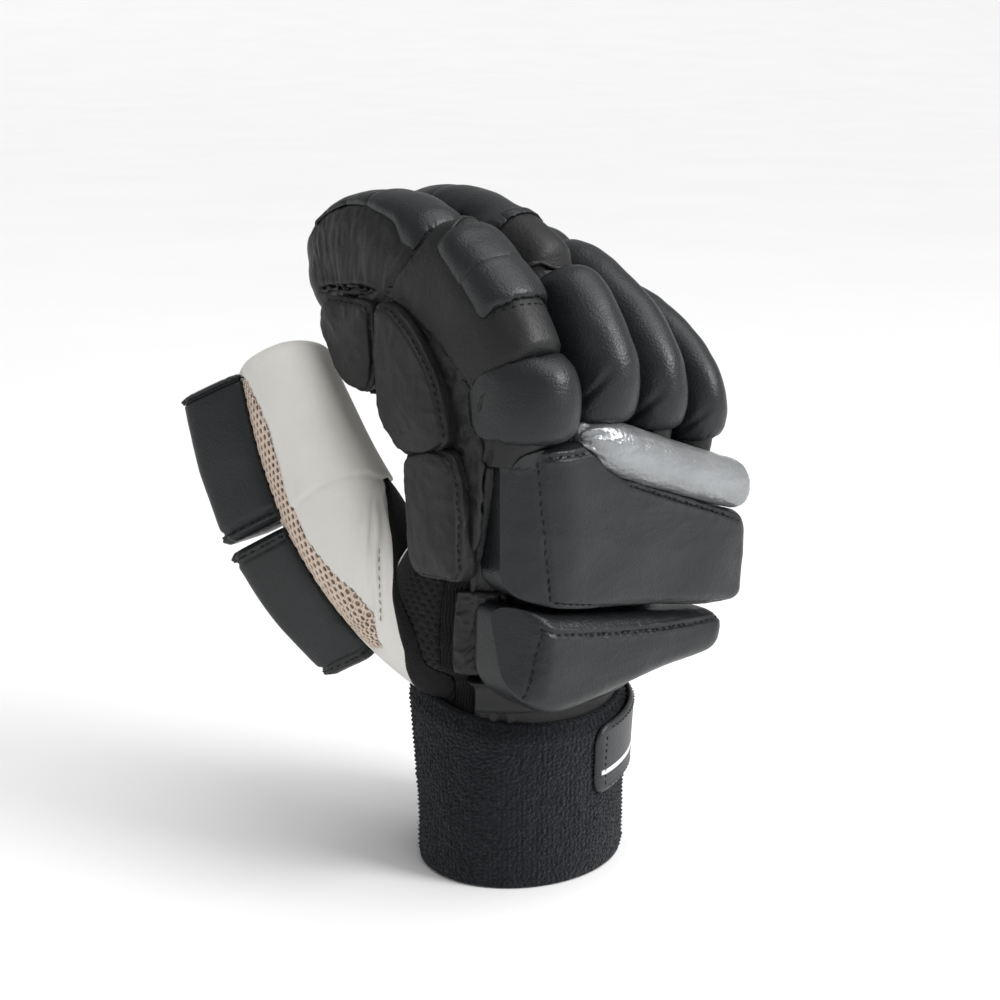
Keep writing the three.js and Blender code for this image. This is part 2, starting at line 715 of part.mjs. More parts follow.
add("wristband", makeCuff(), "terry");
add("wrist_strap", makeStrap(), "black");
for (const [name, look] of Object.entries({
  palm: "white", mesh_gusset: "knit", elastic_panel: "knit", hand_back: "side",
})) {
  add(name, makeHandPanel(name), look);
}
add("side_flap", makeHandOverlay(sideFlap), "side");
add("wrist_pad", makeHandOverlay(wristPad), "side");
for (const name of fingerNames) {
  add(`${name}_sleeve`, makeSleeve(name), "side");
  rolls[name].forEach((row, k) => add(`${name}_roll_${k + 1}`, makeRoll(name, row), "black"));
}
for (const name of ["index_wing_tip", "index_wing_middle", "index_wing_base"]) {
  add(name, makeWing(name), "side");
}
add("back_block", largest(backBlockSolid()), "black");
add("wrist_block", largest(wristBlockSolid()), "black");
add("knuckle_bar", makeBar(), "silver");
add("thumb_sleeve", makeThumbSleeve(), "white");
add("thumb_mesh", makeThumbMesh(), "net");
add("thumb_guard_base", makeGuard("thumb_guard_base"), "black");
add("thumb_guard_tip", makeGuard("thumb_guard_tip"), "black");

// The origin is the middle of the glove's bounds, on the ground.
const bounds = new THREE.Box3().setFromObject(group);
const middle = bounds.getCenter(new THREE.Vector3());
for (const mesh of group.children) {
  mesh.geometry.translate(-middle.x, -middle.y, -bounds.min.z);
}

export default group;
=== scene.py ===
import math
import bpy
import bmesh
import numpy as np
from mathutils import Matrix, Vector, noise
from mathutils.bvhtree import BVHTree
from mathutils.kdtree import KDTree


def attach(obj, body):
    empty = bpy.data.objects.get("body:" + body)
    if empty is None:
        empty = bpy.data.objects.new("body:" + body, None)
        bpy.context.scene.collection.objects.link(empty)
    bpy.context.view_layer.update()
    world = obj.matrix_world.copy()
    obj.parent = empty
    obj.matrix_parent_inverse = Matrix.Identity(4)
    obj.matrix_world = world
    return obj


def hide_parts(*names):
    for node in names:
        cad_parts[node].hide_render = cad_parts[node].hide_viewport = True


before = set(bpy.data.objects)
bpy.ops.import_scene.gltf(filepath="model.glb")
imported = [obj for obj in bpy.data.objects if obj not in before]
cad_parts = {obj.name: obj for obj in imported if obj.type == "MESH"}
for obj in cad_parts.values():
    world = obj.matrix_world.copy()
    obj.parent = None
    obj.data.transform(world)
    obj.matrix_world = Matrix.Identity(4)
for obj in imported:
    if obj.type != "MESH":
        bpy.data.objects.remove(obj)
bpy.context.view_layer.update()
scene = bpy.context.scene

# Lengths are millimetres in the glove's own frame, whose origin is the middle of the
# wristband's foot. X runs to the little finger, Y to the palm, Z up to the fingers.
footPoints = np.array([v.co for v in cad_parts["wristband"].data.vertices if v.co.z < 0.0005])
gloveOrigin = (footPoints.min(0) + footPoints.max(0)) / 2 * 1000
gloveOrigin[2] = 0


def toMetres(points):
    return (np.asarray(points, float) + gloveOrigin) / 1000


# Small helpers for shapes

def readRows(rows, share):
    # a smooth curve through the rows of a table, read at shares from 0 to 1
    table = np.array(rows, float)
    at = np.clip(np.asarray(share, float), 0, 1) * (len(table) - 1)
    low = np.minimum(np.floor(at).astype(int), len(table) - 2)
    t = (at - low)[..., None]
    a, b, c, d = (table[np.clip(low + k, 0, len(table) - 1)] for k in (-1, 0, 1, 2))
    leave, arrive = (c - a) / 2, (d - b) / 2
    return b + leave * t + (3 * (c - b) - 2 * leave - arrive) * t**2 + (2 * (b - c) + leave + arrive) * t**3


def ovalPoint(halfWidth, halfDepth, degrees, squareness=2):
    turn = np.radians(degrees)
    bend = lambda v: np.sign(v) * np.abs(v) ** (2 / squareness)
    return halfWidth * bend(np.cos(turn)), halfDepth * bend(np.sin(turn))


def stack(x, y, z):
    return np.stack(np.broadcast_arrays(x, y, z), -1).astype(float)


def unit(vectors):
    return vectors / np.maximum(np.linalg.norm(vectors, axis=-1, keepdims=True), 1e-9)


def mix(a, b, share):
    return a + (b - a) * share


def easeStep(low, high, value):
    t = np.clip((value - low) / (high - low), 0, 1)
    return t * t * (3 - 2 * t)


def bell(value, middle, width):
    return np.exp(-(((value - middle) / width) ** 2))


def softEnds(count, strength=0.75):
    # shares from 0 to 1 that lie closer together near both ends
    t = np.linspace(0, 1, count)
    return mix(t, (1 - np.cos(np.pi * t)) / 2, strength)


def softMax(a, b, width):
    # the larger of two heights, with the crease between them rounded
    share = np.clip(0.5 + 0.5 * (a - b) / width, 0, 1)
    return mix(b, a, share) + width * share * (1 - share)


def roughness(places, seed=0.0):
    # smooth noise from -1 to 1 at every place
    shift = Vector((seed * 7.3, seed * 3.1, seed * 5.7))
    return np.array([noise.noise(Vector(p) + shift) for p in places])


def creases(places, seed=0.0):
    # 1 along thin meandering lines, falling to -1 between them
    return 1 - 3.2 * np.abs(roughness(places, seed))


# Meshes

def loft(rings, closeStart=True, closeEnd=True):
    # rings is rows x columns x 3, closed round the columns
    rows, columns = rings.shape[:2]
    points = rings.reshape(-1, 3)
    faces = []
    for i in range(rows - 1):
        for j in range(columns):
            here, side = i * columns + j, i * columns + (j + 1) % columns
            faces.append((here, side, side + columns, here + columns))
    for wanted, start, back in ((closeStart, 0, True), (closeEnd, (rows - 1) * columns, False)):
        if wanted:
            centre = len(points)
            points = np.vstack([points, points[start:start + columns].mean(0)])
            for j in range(columns):
                a, b = start + j, start + (j + 1) % columns
                faces.append((centre, b, a) if back else (centre, a, b))
    return points, faces


def torus(rings):
    # closed round the columns, and from the last row to the first
    rows, columns = rings.shape[:2]
    faces = []
    for i in range(rows):
        for j in range(columns):
            a, b = i * columns + j, i * columns + (j + 1) % columns
            c, d = (i + 1) % rows * columns + (j + 1) % columns, (i + 1) % rows * columns + j
            faces.append((a, b, c, d))
    return rings.reshape(-1, 3), faces


def plate(outer, inner):
    # a closed shell between two sheets of rows x columns points
    ring = np.concatenate([outer, inner[:, ::-1]], axis=1)
    rows, columns = ring.shape[:2]
    points, faces = loft(ring, False, False)
    for start, back in ((0, True), ((rows - 1) * columns, False)):
        for j in range(columns // 2 - 1):
            quad = (start + j, start + j + 1, start + columns - 2 - j, start + columns - 1 - j)
            faces.append(quad[::-1] if back else quad)
    return points, faces


def joined(shapes):
    # many small shapes as the points and faces of one mesh
    points, faces, start = [], [], 0
    for somePoints, someFaces in shapes:
        points.append(somePoints)
        faces += [tuple(v + start for v in face) for face in someFaces]
        start += len(somePoints)
    return np.vstack(points), faces


def makeMesh(name, points, faces, weld=0.0):
    mesh = bpy.data.meshes.new(name)
    mesh.from_pydata(np.asarray(points, float).tolist(), [], faces)
    piece = bpy.data.objects.new(name, mesh)
    scene.collection.objects.link(piece)
    tidyNormals(piece, weld)
    return piece


def tidyNormals(piece, weld=0.0):
    work = bmesh.new()
    work.from_mesh(piece.data)
    if weld:
        bmesh.ops.remove_doubles(work, verts=work.verts, dist=weld)
    bmesh.ops.recalc_face_normals(work, faces=work.faces)
    work.to_mesh(piece.data)
    work.free()
    piece.data.polygons.foreach_set("use_smooth", [True] * len(piece.data.polygons))
    piece.data.update()


def readPoints(piece, what="co"):
    values = np.empty(len(piece.data.vertices) * 3)
    piece.data.vertices.foreach_get(what, values)
    return values.reshape(-1, 3)


def setPoints(piece, points):
    piece.data.vertices.foreach_set("co", np.asarray(points, float).ravel())
    piece.data.update()


def swell(piece, amounts):
    # moves every point along its own normal
    setPoints(piece, readPoints(piece) + readPoints(piece, "normal") * np.asarray(amounts)[:, None])


def treeOf(piece):
    return BVHTree.FromPolygons(
        [tuple(p) for p in readPoints(piece)], [tuple(f.vertices) for f in piece.data.polygons]
    )


def keepClear(piece, trees, towards, air=0.3, reach=60):
    # what reaches into a neighbour stops at its skin; towards points into the neighbour
    points = readPoints(piece)
    way = Vector(towards).normalized()
    for tree in trees:
        for k, point in enumerate(points):
            spot = tree.ray_cast(Vector(point) - way * reach, way, reach * 2)[0]
            if spot is not None and (Vector(point) - spot).dot(way) > -air:
                points[k] = spot - way * air
    setPoints(piece, points)


def carve(piece, *cutters):
    for cutter in cutters:
        cut = piece.modifiers.new("cut", "BOOLEAN")
        cut.operation = "DIFFERENCE"
        cut.solver = "EXACT"
        cut.object = cutter
        graph = bpy.context.evaluated_depsgraph_get()
        mesh = bpy.data.meshes.new_from_object(piece.evaluated_get(graph))
        piece.modifiers.clear()
        piece.data = mesh
    tidyNormals(piece)


def finishPiece(piece, material, slot, nodes=()):
    # from millimetres in the glove's frame to metres in the shared one
    setPoints(piece, toMetres(readPoints(piece)))
    piece.data.materials.clear()
    piece.data.materials.append(material)
    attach(piece, "root")
    if nodes:
        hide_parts(*nodes)


# Seams: a path is evenly spaced points on a skin, with the skin's normals

pathStep = 0.5


def evenPath(points, normals):
    along = np.concatenate([[0], np.cumsum(np.linalg.norm(np.diff(points, axis=0), axis=1))])
    at = np.linspace(0, along[-1], max(3, int(along[-1] / pathStep) + 1))
    spread = lambda values: np.stack([np.interp(at, along, values[:, k]) for k in range(3)], 1)
    return spread(points), unit(spread(normals))


def skinPath(pointAt, pairs):
    # a smooth line through pairs of coordinates on a skin
    dense = readRows(pairs, np.linspace(0, 1, 40 * len(pairs)))
    points = pointAt(dense[:, 0], dense[:, 1], 0.0)
    return evenPath(points, unit(pointAt(dense[:, 0], dense[:, 1], 1.0) - points))


def settle(path, tree, reach=12):
    # lays a path on the nearest part of a finished piece
    points, normals = path[0].copy(), path[1].copy()
    for k, point in enumerate(points):
        spot, normal, _, _ = tree.find_nearest(Vector(point), reach)
        if spot is not None:
            points[k], normals[k] = spot, normal
    return evenPath(points, normals)


def castPath(tree, start, way, far=100):
    # lays a line of points on a piece, from afar
    points, normals = [], []
    for point in start:
        spot, normal, _, _ = tree.ray_cast(Vector(point) - Vector(way) * far, Vector(way), far * 2)
        if spot is not None:
            points.append(spot)
            normals.append(normal)
    return evenPath(np.array(points), np.array(normals))


def smoothLine(corners, count=60):
    return readRows(corners, np.linspace(0, 1, count))


def raised(path, height):
    return path[0] + path[1] * height, path[1]


def sideOf(path):
    # the way along the skin, across the path
    return unit(np.cross(unit(np.gradient(path[0], axis=0)), path[1]))


def pressSeam(piece, path, depth=0.8, width=0.9, lip=0.0, pucker=0.0, fade=3.0):
    # a furrow along a path, raised lips beside it and short puckers across it; fade is the
    # stretch over which it starts and ends
    line = path[0]
    tree = KDTree(len(line))
    for k, point in enumerate(line):
        tree.insert(point, k)
    tree.balance()
    points = readPoints(piece)
    reach = max(4 * width, 6 if pucker else 0)
    near = np.all((points > line.min(0) - reach) & (points < line.max(0) + reach), axis=1)
    amounts = np.zeros(len(points))
    length = len(line) * pathStep
    for k in np.nonzero(near)[0]:
        _, index, far = tree.find(points[k])
        if far > reach:
            continue
        s = index * pathStep
        ends = min(1.0, s / fade, (length - s) / fade) if fade else 1.0
        amount = -depth * math.exp(-((far / width) ** 2))
        amount += lip * math.exp(-(((far - 1.9 * width) / width) ** 2))
        if pucker:
            amount += pucker * noise.noise(Vector((s / 1.9, far / 9, depth * 9))) * math.exp(-far / 2.6)
        amounts[k] = amount * max(0.0, ends)
    swell(piece, amounts)


def tube(points, normals, radius, sides=8):
    tangent = unit(np.gradient(points, axis=0))
    side = unit(np.cross(tangent, normals))
    up = np.cross(side, tangent)
    turns = np.linspace(0, 2 * math.pi, sides, endpoint=False)
    radius = np.broadcast_to(radius, len(points))[:, None, None]
    rings = points[:, None] + radius * (
        np.cos(turns)[None, :, None] * side[:, None] + np.sin(turns)[None, :, None] * up[:, None]
    )
    return loft(rings)


def sewThread(path, pitch=3.0, length=2.2, radius=0.26, proud=0.16, aside=0.0, wander=0.12, seed=1):
    # separate stitches whose ends dive into the leather
    points, normals = path
    rng = np.random.default_rng(seed)
    side = sideOf(path)
    total = (len(points) - 1) * pathStep
    shapes = []
    for start in np.arange(pitch * 0.4, total - length, pitch):
        start += rng.uniform(-wander, wander) * pitch
        at = np.linspace(start, start + length * rng.uniform(0.88, 1.05), 5) / pathStep
        pick = lambda values: np.stack([
            np.interp(at, np.arange(len(points)), values[:, k]) for k in range(3)
        ], 1)
        arch = np.array([-radius * 1.4, proud * 0.6, proud, proud * 0.6, -radius * 1.4])
        skew = np.linspace(-1, 1, 5) * rng.uniform(-wander, wander)
        middle = pick(points) + pick(normals) * arch[:, None] + pick(side) * (aside + skew)[:, None]
        shapes.append(tube(middle, pick(normals), np.array([0.6, 1, 1.05, 1, 0.6]) * radius, 5))
    return shapes


def layCord(path, radius=0.8, proud=0.2, seed=1, uneven=0.12):
    # a rolled leather edge sewn along a seam
    points, normals = path
    spots = np.stack([np.arange(len(points)) * 0.19, np.full(len(points), seed), np.zeros(len(points))], 1)
    wave = roughness(spots, seed)
    taper = np.minimum(1, np.minimum(np.arange(len(points)), np.arange(len(points))[::-1]) / 5 + 0.25)
    middle = points + normals * (proud + wave[:, None] * uneven)
    return tube(middle, normals, radius * (1 + wave * uneven * 1.5) * taper, 8)


def rawEdge(path, outward, low=0.6, high=2.4, thickness=0.7, seed=1):
    # a cut leather edge: a thin strip beside a path, with a torn rim
    points, normals = path
    count = len(points)
    at = np.arange(count) * pathStep
    slow = roughness(np.stack([at / 7, np.zeros(count), np.zeros(count)], 1), seed)
    fast = roughness(np.stack([at / 1.1, np.ones(count), np.zeros(count)], 1), seed + 3)
    reach = np.clip(mix(low, high, 0.5 + 0.7 * slow) + 0.55 * fast, 0.2, high * 1.3)
    reach = reach * np.minimum(1, np.minimum(np.arange(count), np.arange(count)[::-1]) / 6)
    sheet = np.stack([points - outward * 0.8, points + outward * reach[:, None] * 0.6,
                      points + outward * reach[:, None] + normals * fast[:, None] * 0.5], 0)
    edge = np.array([0.5, 0.42, 0.2])[:, None, None] * thickness
    return plate(sheet + normals[None] * edge, sheet - normals[None] * edge)


def tufts(places, normals, length, radius, seed, spread=0.7):
    # short bent ends of yarn
    rng = np.random.default_rng(seed)
    shapes = []
    for place, normal in zip(places, normals):
        lean = rng.normal(0, spread, 3)
        way = unit(normal + lean)
        bend = rng.normal(0, 0.5, 3)
        size = length * rng.uniform(0.5, 1.3)
        steps = np.linspace(0, 1, 4)[:, None]
        middle = place - normal * 0.3 + way * size * steps + bend * size * 0.5 * steps**2
        shapes.append(tube(middle, np.tile(unit(bend), (4, 1)), np.array([1, 0.9, 0.7, 0.3]) * radius, 3))
    return shapes


def placeShapes(name, shapes, material, slot):
    finishPiece(makeMesh(name, *joined(shapes)), material, slot)


# Materials

def fromHex(text):
    # sRGB hex to the linear colour that the shader wants
    parts = [int(text[k:k + 2], 16) / 255 for k in (1, 3, 5)]
    return tuple(p / 12.92 if p <= 0.04045 else ((p + 0.055) / 1.055) ** 2.4 for p in parts) + (1,)


def addNode(tree, kind, settings=None, sockets=None):
    node = tree.nodes.new(kind)
    for key, value in (settings or {}).items():
        setattr(node, key, value)
    for key, value in (sockets or {}).items():
        if isinstance(value, bpy.types.NodeSocket):
            tree.links.new(value, node.inputs[key])
        else:
            node.inputs[key].default_value = value
    return node


def newMaterial(name, fixed):
    material = bpy.data.materials.new(name)
    material.use_nodes = True
    tree = material.node_tree
    shader = tree.nodes["Principled BSDF"]
    for key, value in fixed.items():
        shader.inputs[key].default_value = value
    place = addNode(tree, "ShaderNodeTexCoord").outputs["Object"]
    return material, tree, shader, place


def colourPatches(tree, shader, place, colours, size, softness=0.5):
    # slow drifts between two tones of one finish; size in millimetres
    drift = addNode(tree, "ShaderNodeTexNoise", sockets={
        "Vector": place, "Scale": 1000 / size, "Detail": 4.0, "Roughness": 0.6,
    })
    ramp = addNode(tree, "ShaderNodeValToRGB", sockets={"Fac": drift.outputs["Fac"]})
    ramp.color_ramp.elements[0].position = 0.5 - softness / 2
    ramp.color_ramp.elements[1].position = 0.5 + softness / 2
    ramp.color_ramp.elements[0].color = fromHex(colours[0])
    ramp.color_ramp.elements[1].color = fromHex(colours[1])
    tree.links.new(ramp.outputs["Color"], shader.inputs["Base Color"])


def leather(name, finish):
    material, tree, shader, place = newMaterial(name, finish["fixed"])
    colourPatches(tree, shader, place, finish["colours"], 22)
    # the embossed grain: small rounded pebbles, whose spacing is in millimetres
    warp = addNode(tree, "ShaderNodeTexNoise", sockets={
        "Vector": place, "Scale": 420.0, "Detail": 2.0,
    })
    bent = addNode(tree, "ShaderNodeMixRGB", {"blend_type": "LINEAR_LIGHT"}, {
        "Fac": 0.0006, "Color1": place, "Color2": warp.outputs["Color"],
    })
    pebbles = addNode(tree, "ShaderNodeTexVoronoi", {"feature": "F1"}, {
        "Vector": bent.outputs["Color"], "Scale": 1000 / finish["grain"],
    })
    pores = addNode(tree, "ShaderNodeTexNoise", sockets={
        "Vector": place, "Scale": 1000 / (finish["grain"] * 1.7), "Detail": 6.0, "Roughness": 0.62,
    })
    stretched = addNode(tree, "ShaderNodeMapping", sockets={
        "Vector": place, "Scale": finish["creaseScale"],
    })
    lines = addNode(tree, "ShaderNodeTexNoise", {"noise_type": "RIDGED_MULTIFRACTAL"}, {
        "Vector": stretched.outputs["Vector"], "Scale": 1.0, "Detail": 3.0, "Roughness": 0.5,
    })
    first = addNode(tree, "ShaderNodeBump", {"invert": True}, {
        "Height": pebbles.outputs["Distance"], "Strength": finish["pebbleStrength"],
        "Distance": 0.00022,
    })
    second = addNode(tree, "ShaderNodeBump", sockets={
        "Height": pores.outputs["Fac"], "Strength": finish["poreStrength"], "Distance": 0.0003,
        "Normal": first.outputs["Normal"],
    })
    third = addNode(tree, "ShaderNodeBump", {"invert": True}, {
        "Height": lines.outputs["Fac"], "Strength": finish["creaseStrength"], "Distance": 0.0004,
        "Normal": second.outputs["Normal"],
    })
    tree.links.new(third.outputs["Normal"], shader.inputs["Normal"])
    # handling polishes the leather in patches
    rub = addNode(tree, "ShaderNodeTexNoise", sockets={
        "Vector": place, "Scale": 55.0, "Detail": 5.0, "Roughness": 0.6,
    })
    sheen = addNode(tree, "ShaderNodeMapRange", sockets={
        "Value": rub.outputs["Fac"], "From Min": 0.3, "From Max": 0.7,
        "To Min": finish["rough"][0], "To Max": finish["rough"][1],
    })
    tree.links.new(sheen.outputs["Result"], shader.inputs["Roughness"])
    return material


# Coated split leather over foam, embossed: dark, with a soft satin light on every crown
paddedLeather = leather("pebbledPaddedLeather", {
    "colours": ("#121416", "#1b1e20"), "grain": 0.85, "rough": (0.34, 0.44),
    "pebbleStrength": 0.4, "poreStrength": 0.35,
    "creaseScale": (160, 160, 160), "creaseStrength": 0.12,
    "fixed": {"IOR": 1.5, "Specular IOR Level": 0.36},
})
# Thin goat leather of the sleeves and wings: a neutral black, drier, with fine upright creases
sideLeather = leather("creasedSideLeather", {
    "colours": ("#151617", "#1e1e1f"), "grain": 0.9, "rough": (0.42, 0.55),
    "pebbleStrength": 0.3, "poreStrength": 0.4,
    "creaseScale": (420, 420, 120), "creaseStrength": 0.3,
    "fixed": {"IOR": 1.5, "Specular IOR Level": 0.3},
})
# Leather under a silver foil: a broken metallic light over coarse pebbles
silverLeather = leather("silverFoilLeather", {
    "colours": ("#808284", "#97999b"), "grain": 1.5, "rough": (0.28, 0.38),
    "pebbleStrength": 0.75, "poreStrength": 0.5,
    "creaseScale": (60, 420, 420), "creaseStrength": 0.12,
    "fixed": {"IOR": 1.5, "Metallic": 0.6},
})
# Undyed tanned leather of the thumb and palm: chalky, with hardly any gloss
whiteLeather = leather("undyedLeather", {
    "colours": ("#d0cec8", "#dbd9d4"), "grain": 0.8, "rough": (0.55, 0.7),
    "pebbleStrength": 0.12, "poreStrength": 0.22,
    "creaseScale": (90, 90, 240), "creaseStrength": 0.12,
    "fixed": {
        "IOR": 1.5, "Specular IOR Level": 0.3,
        "Subsurface Weight": 0.04, "Subsurface Radius": (0.002, 0.001, 0.0006),
    },
})


def cloth(name, finish):
    material, tree, shader, place = newMaterial(name, finish["fixed"])
    colourPatches(tree, shader, place, finish["colours"], finish["patch"], 0.4)
    yarn = addNode(tree, "ShaderNodeTexVoronoi", {"feature": "SMOOTH_F1"}, {
        "Vector": place, "Scale": 1000 / finish["yarn"], "Smoothness": 0.35,
    })
    lint = addNode(tree, "ShaderNodeTexNoise", sockets={
        "Vector": place, "Scale": 1000 / (finish["yarn"] * 0.8), "Detail": 5.0,
    })
    first = addNode(tree, "ShaderNodeBump", {"invert": True}, {
        "Height": yarn.outputs["Distance"], "Strength": finish["yarnStrength"],
        "Distance": finish["yarn"] / 1400,
    })
    second = addNode(tree, "ShaderNodeBump", sockets={
        "Height": lint.outputs["Fac"], "Strength": 0.5, "Distance": 0.0004, "Normal": first.outputs["Normal"],
    })
    tree.links.new(second.outputs["Normal"], shader.inputs["Normal"])
    return material


# Cotton terry, yarn 1.3 mm thick: swallows light, with a grey bloom at grazing angles.
# The mesh's own loops are 1.8 mm apart, coarser than the real 1.3 mm, so that they show.
terryKnit = cloth("terryLoops", {
    "colours": ("#101215", "#212429"), "patch": 1.6, "yarn": 1.3, "yarnStrength": 1.0,
    "fixed": {
        "Roughness": 0.95, "Specular IOR Level": 0.15, "Sheen Weight": 0.08, "Sheen Roughness": 0.6,
    },
})
# Flat nylon knit and rubber-cored elastic: matt and nearly black
flatKnit = cloth("flatNylonKnit", {
    "colours": ("#08080a", "#101012"), "patch": 3, "yarn": 0.6, "yarnStrength": 0.6,
    "fixed": {"Roughness": 0.85, "Specular IOR Level": 0.2, "Sheen Weight": 0.05},
})
# Polyester net of the thumb: off-white yarn with a warm cast
netKnit = cloth("hexagonNet", {
    "colours": ("#c9b6a6", "#d9c8ba"), "patch": 4, "yarn": 0.5, "yarnStrength": 0.4,
    "fixed": {"Roughness": 0.7, "Specular IOR Level": 0.3, "Sheen Weight": 0.1},
})
# Cotton lining seen through the net
netLining = cloth("thumbLining", {
    "colours": ("#9c8a7c", "#ab998a"), "patch": 6, "yarn": 0.5, "yarnStrength": 0.3,
    "fixed": {"Roughness": 0.9, "Specular IOR Level": 0.2},
})
# Bonded nylon thread and cut leather edges: darker and drier than the grain side
blackThread = cloth("bondedThread", {
    "colours": ("#060607", "#0c0c0d"), "patch": 5, "yarn": 0.4, "yarnStrength": 0.4,
    "fixed": {"Roughness": 0.6, "Specular IOR Level": 0.3},
})
rawLeather = cloth("cutLeatherEdge", {
    "colours": ("#09090a", "#141312"), "patch": 2, "yarn": 0.5, "yarnStrength": 0.8,
    "fixed": {"Roughness": 0.8, "Specular IOR Level": 0.25},
})
paleThread = cloth("paleThread", {
    "colours": ("#8d887e", "#a09a90"), "patch": 5, "yarn": 0.4, "yarnStrength": 0.4,
    "fixed": {"Roughness": 0.6, "Specular IOR Level": 0.3},
})
# Moulded PVC label: smooth and slightly shiny
strapRubber = cloth("mouldedLabel", {
    "colours": ("#1f2124", "#27292c"), "patch": 9, "yarn": 1.0, "yarnStrength": 0.08,
    "fixed": {"Roughness": 0.42, "Specular IOR Level": 0.45},
})
stripePaint = cloth("whiteStripe", {
    "colours": ("#d9d9d8", "#e4e4e3"), "patch": 9, "yarn": 1.0, "yarnStrength": 0.05,
    "fixed": {"Roughness": 0.5},
})
studioFloor = cloth("matFloor", {
    "colours": ("#f1f1f1", "#f4f4f4"), "patch": 400, "yarn": 30, "yarnStrength": 0.0,
    "fixed": {"Roughness": 0.95, "Specular IOR Level": 0.1},
})
print("materials made")

# Wristband: a tube of terry knit with a rolled rim

wristband = {
    "height": 68, "slope": 0.2, "wall": 3.8, "halfWidth": 39.5, "halfDepth": 35, "flare": 3.5,
    "rows": 120, "columns": 402, "loopHeight": 0.85, "seed": 5,
    # where the terry starts and ends, as shares of the height, and how far its rim turns in
    "foot": 0.02, "rim": 0.985, "rimTurn": 2.6,
}
yarnEnds = {"count": 1300, "onRim": 300, "length": 1.0, "radius": 0.1}


def cuffPoint(z, degrees, offset=0):
    flare = wristband["flare"] * (np.maximum(0, z) / wristband["height"]) ** 2
    halfWidth, halfDepth = wristband["halfWidth"] + flare, wristband["halfDepth"] + flare / 2
    return stack(*ovalPoint(halfWidth + offset, halfDepth + offset, degrees), z)


def cuffTop(degrees):
    return wristband["height"] + wristband["slope"] * cuffPoint(wristband["height"], degrees)[..., 1]


def makeWristband():
    angles = np.linspace(0, 360, wristband["columns"], endpoint=False)
    top, wall = cuffTop(angles), wristband["wall"]
    rows, columns = wristband["rows"], wristband["columns"]
    foot, rim = wristband["foot"], wristband["rim"]
    # loops of yarn, three points wide and high, in upright wales that are staggered
    rng = np.random.default_rng(wristband["seed"])
    tall = rng.uniform(0.55, 1.15, (rows // 3 + 2, columns // 3))
    column = np.arange(columns)
    rings = []
    for k, share in enumerate(np.linspace(foot, rim, rows)):
        row = k + (column // 3) % 2 + np.where(rng.random(columns) < 0.03, 1, 0)
        bump = np.where(column % 3 == 1, 1, 0.22) * np.where(row % 3 == 1, 1, 0.3)
        bump = bump * tall[row // 3, column // 3]
        turnIn = wristband["rimTurn"] * easeStep(0.9, 1, share)
        base = cuffPoint(share * top, angles, -turnIn)
        slack = roughness(base / 26, 4) * 0.55 + roughness(base * [0.2, 0.2, 0.05], 6) * 0.3
        bump = bump * easeStep(0.01, 0.05, share) * wristband["loopHeight"]
        rings.append(cuffPoint(share * top, angles, bump + slack - 0.2 - turnIn))
    rounds = np.radians(np.linspace(20, 160, 6))
    for turn in rounds:
        inward = wall / 2 * (math.cos(turn) - 1) - 2.4
        rings.append(cuffPoint(rim * top + wall * 0.3 * np.sin(turn), angles, inward))
    for share in np.linspace(rim, foot, 10):
        rings.append(cuffPoint(share * top, angles, -wall - 0.6 * easeStep(0.9, 1, share)))
    for turn in rounds[::-1]:
        inward = wall / 2 * (math.cos(turn) - 1)
        rings.append(cuffPoint(foot * top - wall * 0.3 * np.sin(turn), angles, inward))
    rings = np.array(rings)
    rings[..., 2] = np.maximum(rings[..., 2], 0)
    return makeMesh("wristbandKnit", *torus(rings))


def makeYarnEnds():
    # most stand out from the side, and the first of them from the rim
    rng = np.random.default_rng(11)
    turns = rng.uniform(0, 360, yarnEnds["count"])
    heights = rng.uniform(0.03, 0.98, yarnEnds["count"])
    rim = slice(0, yarnEnds["onRim"])
    heights[rim] = rng.uniform(wristband["rim"], 1.0, yarnEnds["onRim"])
    points = cuffPoint(heights * cuffTop(turns), turns, 0.1)
    normals = unit(cuffPoint(heights * cuffTop(turns), turns, 1.1) - points)
    normals[rim, 2] += rng.uniform(0.2, 1.4, yarnEnds["onRim"])
    return tufts(points, unit(normals), yarnEnds["length"], yarnEnds["radius"], 12)


# Hand: the shell of palm, gusset, elastic and back panels

hand = {
    "foot": 54, "air": 0.9, "height": 108, "lean": 31, "knuckleHalfDepth": 16.5, "knuckleSlope": 0.14,
    "squareness": 2.7, "thumbRoot": 11, "thumbRootAngle": 148, "thumbRootSpread": 34, "wall": 2, "seam": 0.6,
    # height, lean, width, depth and thumb root as shares
    "sections": [
        (0, 0, 0, 0, 0), (0.2, 0.02, 0, 0, 0), (0.28, 0.12, 0.45, 0.1, 0.62), (0.46, 0.34, 0.72, 0.3, 1),
        (0.62, 0.56, 0.86, 0.5, 0.9), (0.78, 0.78, 0.93, 0.72, 0.45), (1.08, 1.04, 0.985, 1, 0),
    ],
    # degrees from the little finger side over the palm
    "palm": (6, 153), "mesh_gusset": (153, 188), "elastic_panel": (188, 203), "hand_back": (203, 366),
}
fingers = {
    "index": {"width": 29.5, "depth": 40, "bore": 18.5, "reach": 84, "rise": 59},
    "middle": {"width": 27, "depth": 39, "bore": 18.5, "reach": 88, "rise": 63},
    "ring": {"width": 24, "depth": 36, "bore": 17.5, "reach": 82, "rise": 54},
    "little": {"width": 20.5, "depth": 33, "bore": 15.5, "reach": 68, "rise": 41},
}
fingerAir = 1.2
seamAir = 0.3
knuckleWidth = sum(f["width"] for f in fingers.values()) + fingerAir * 3


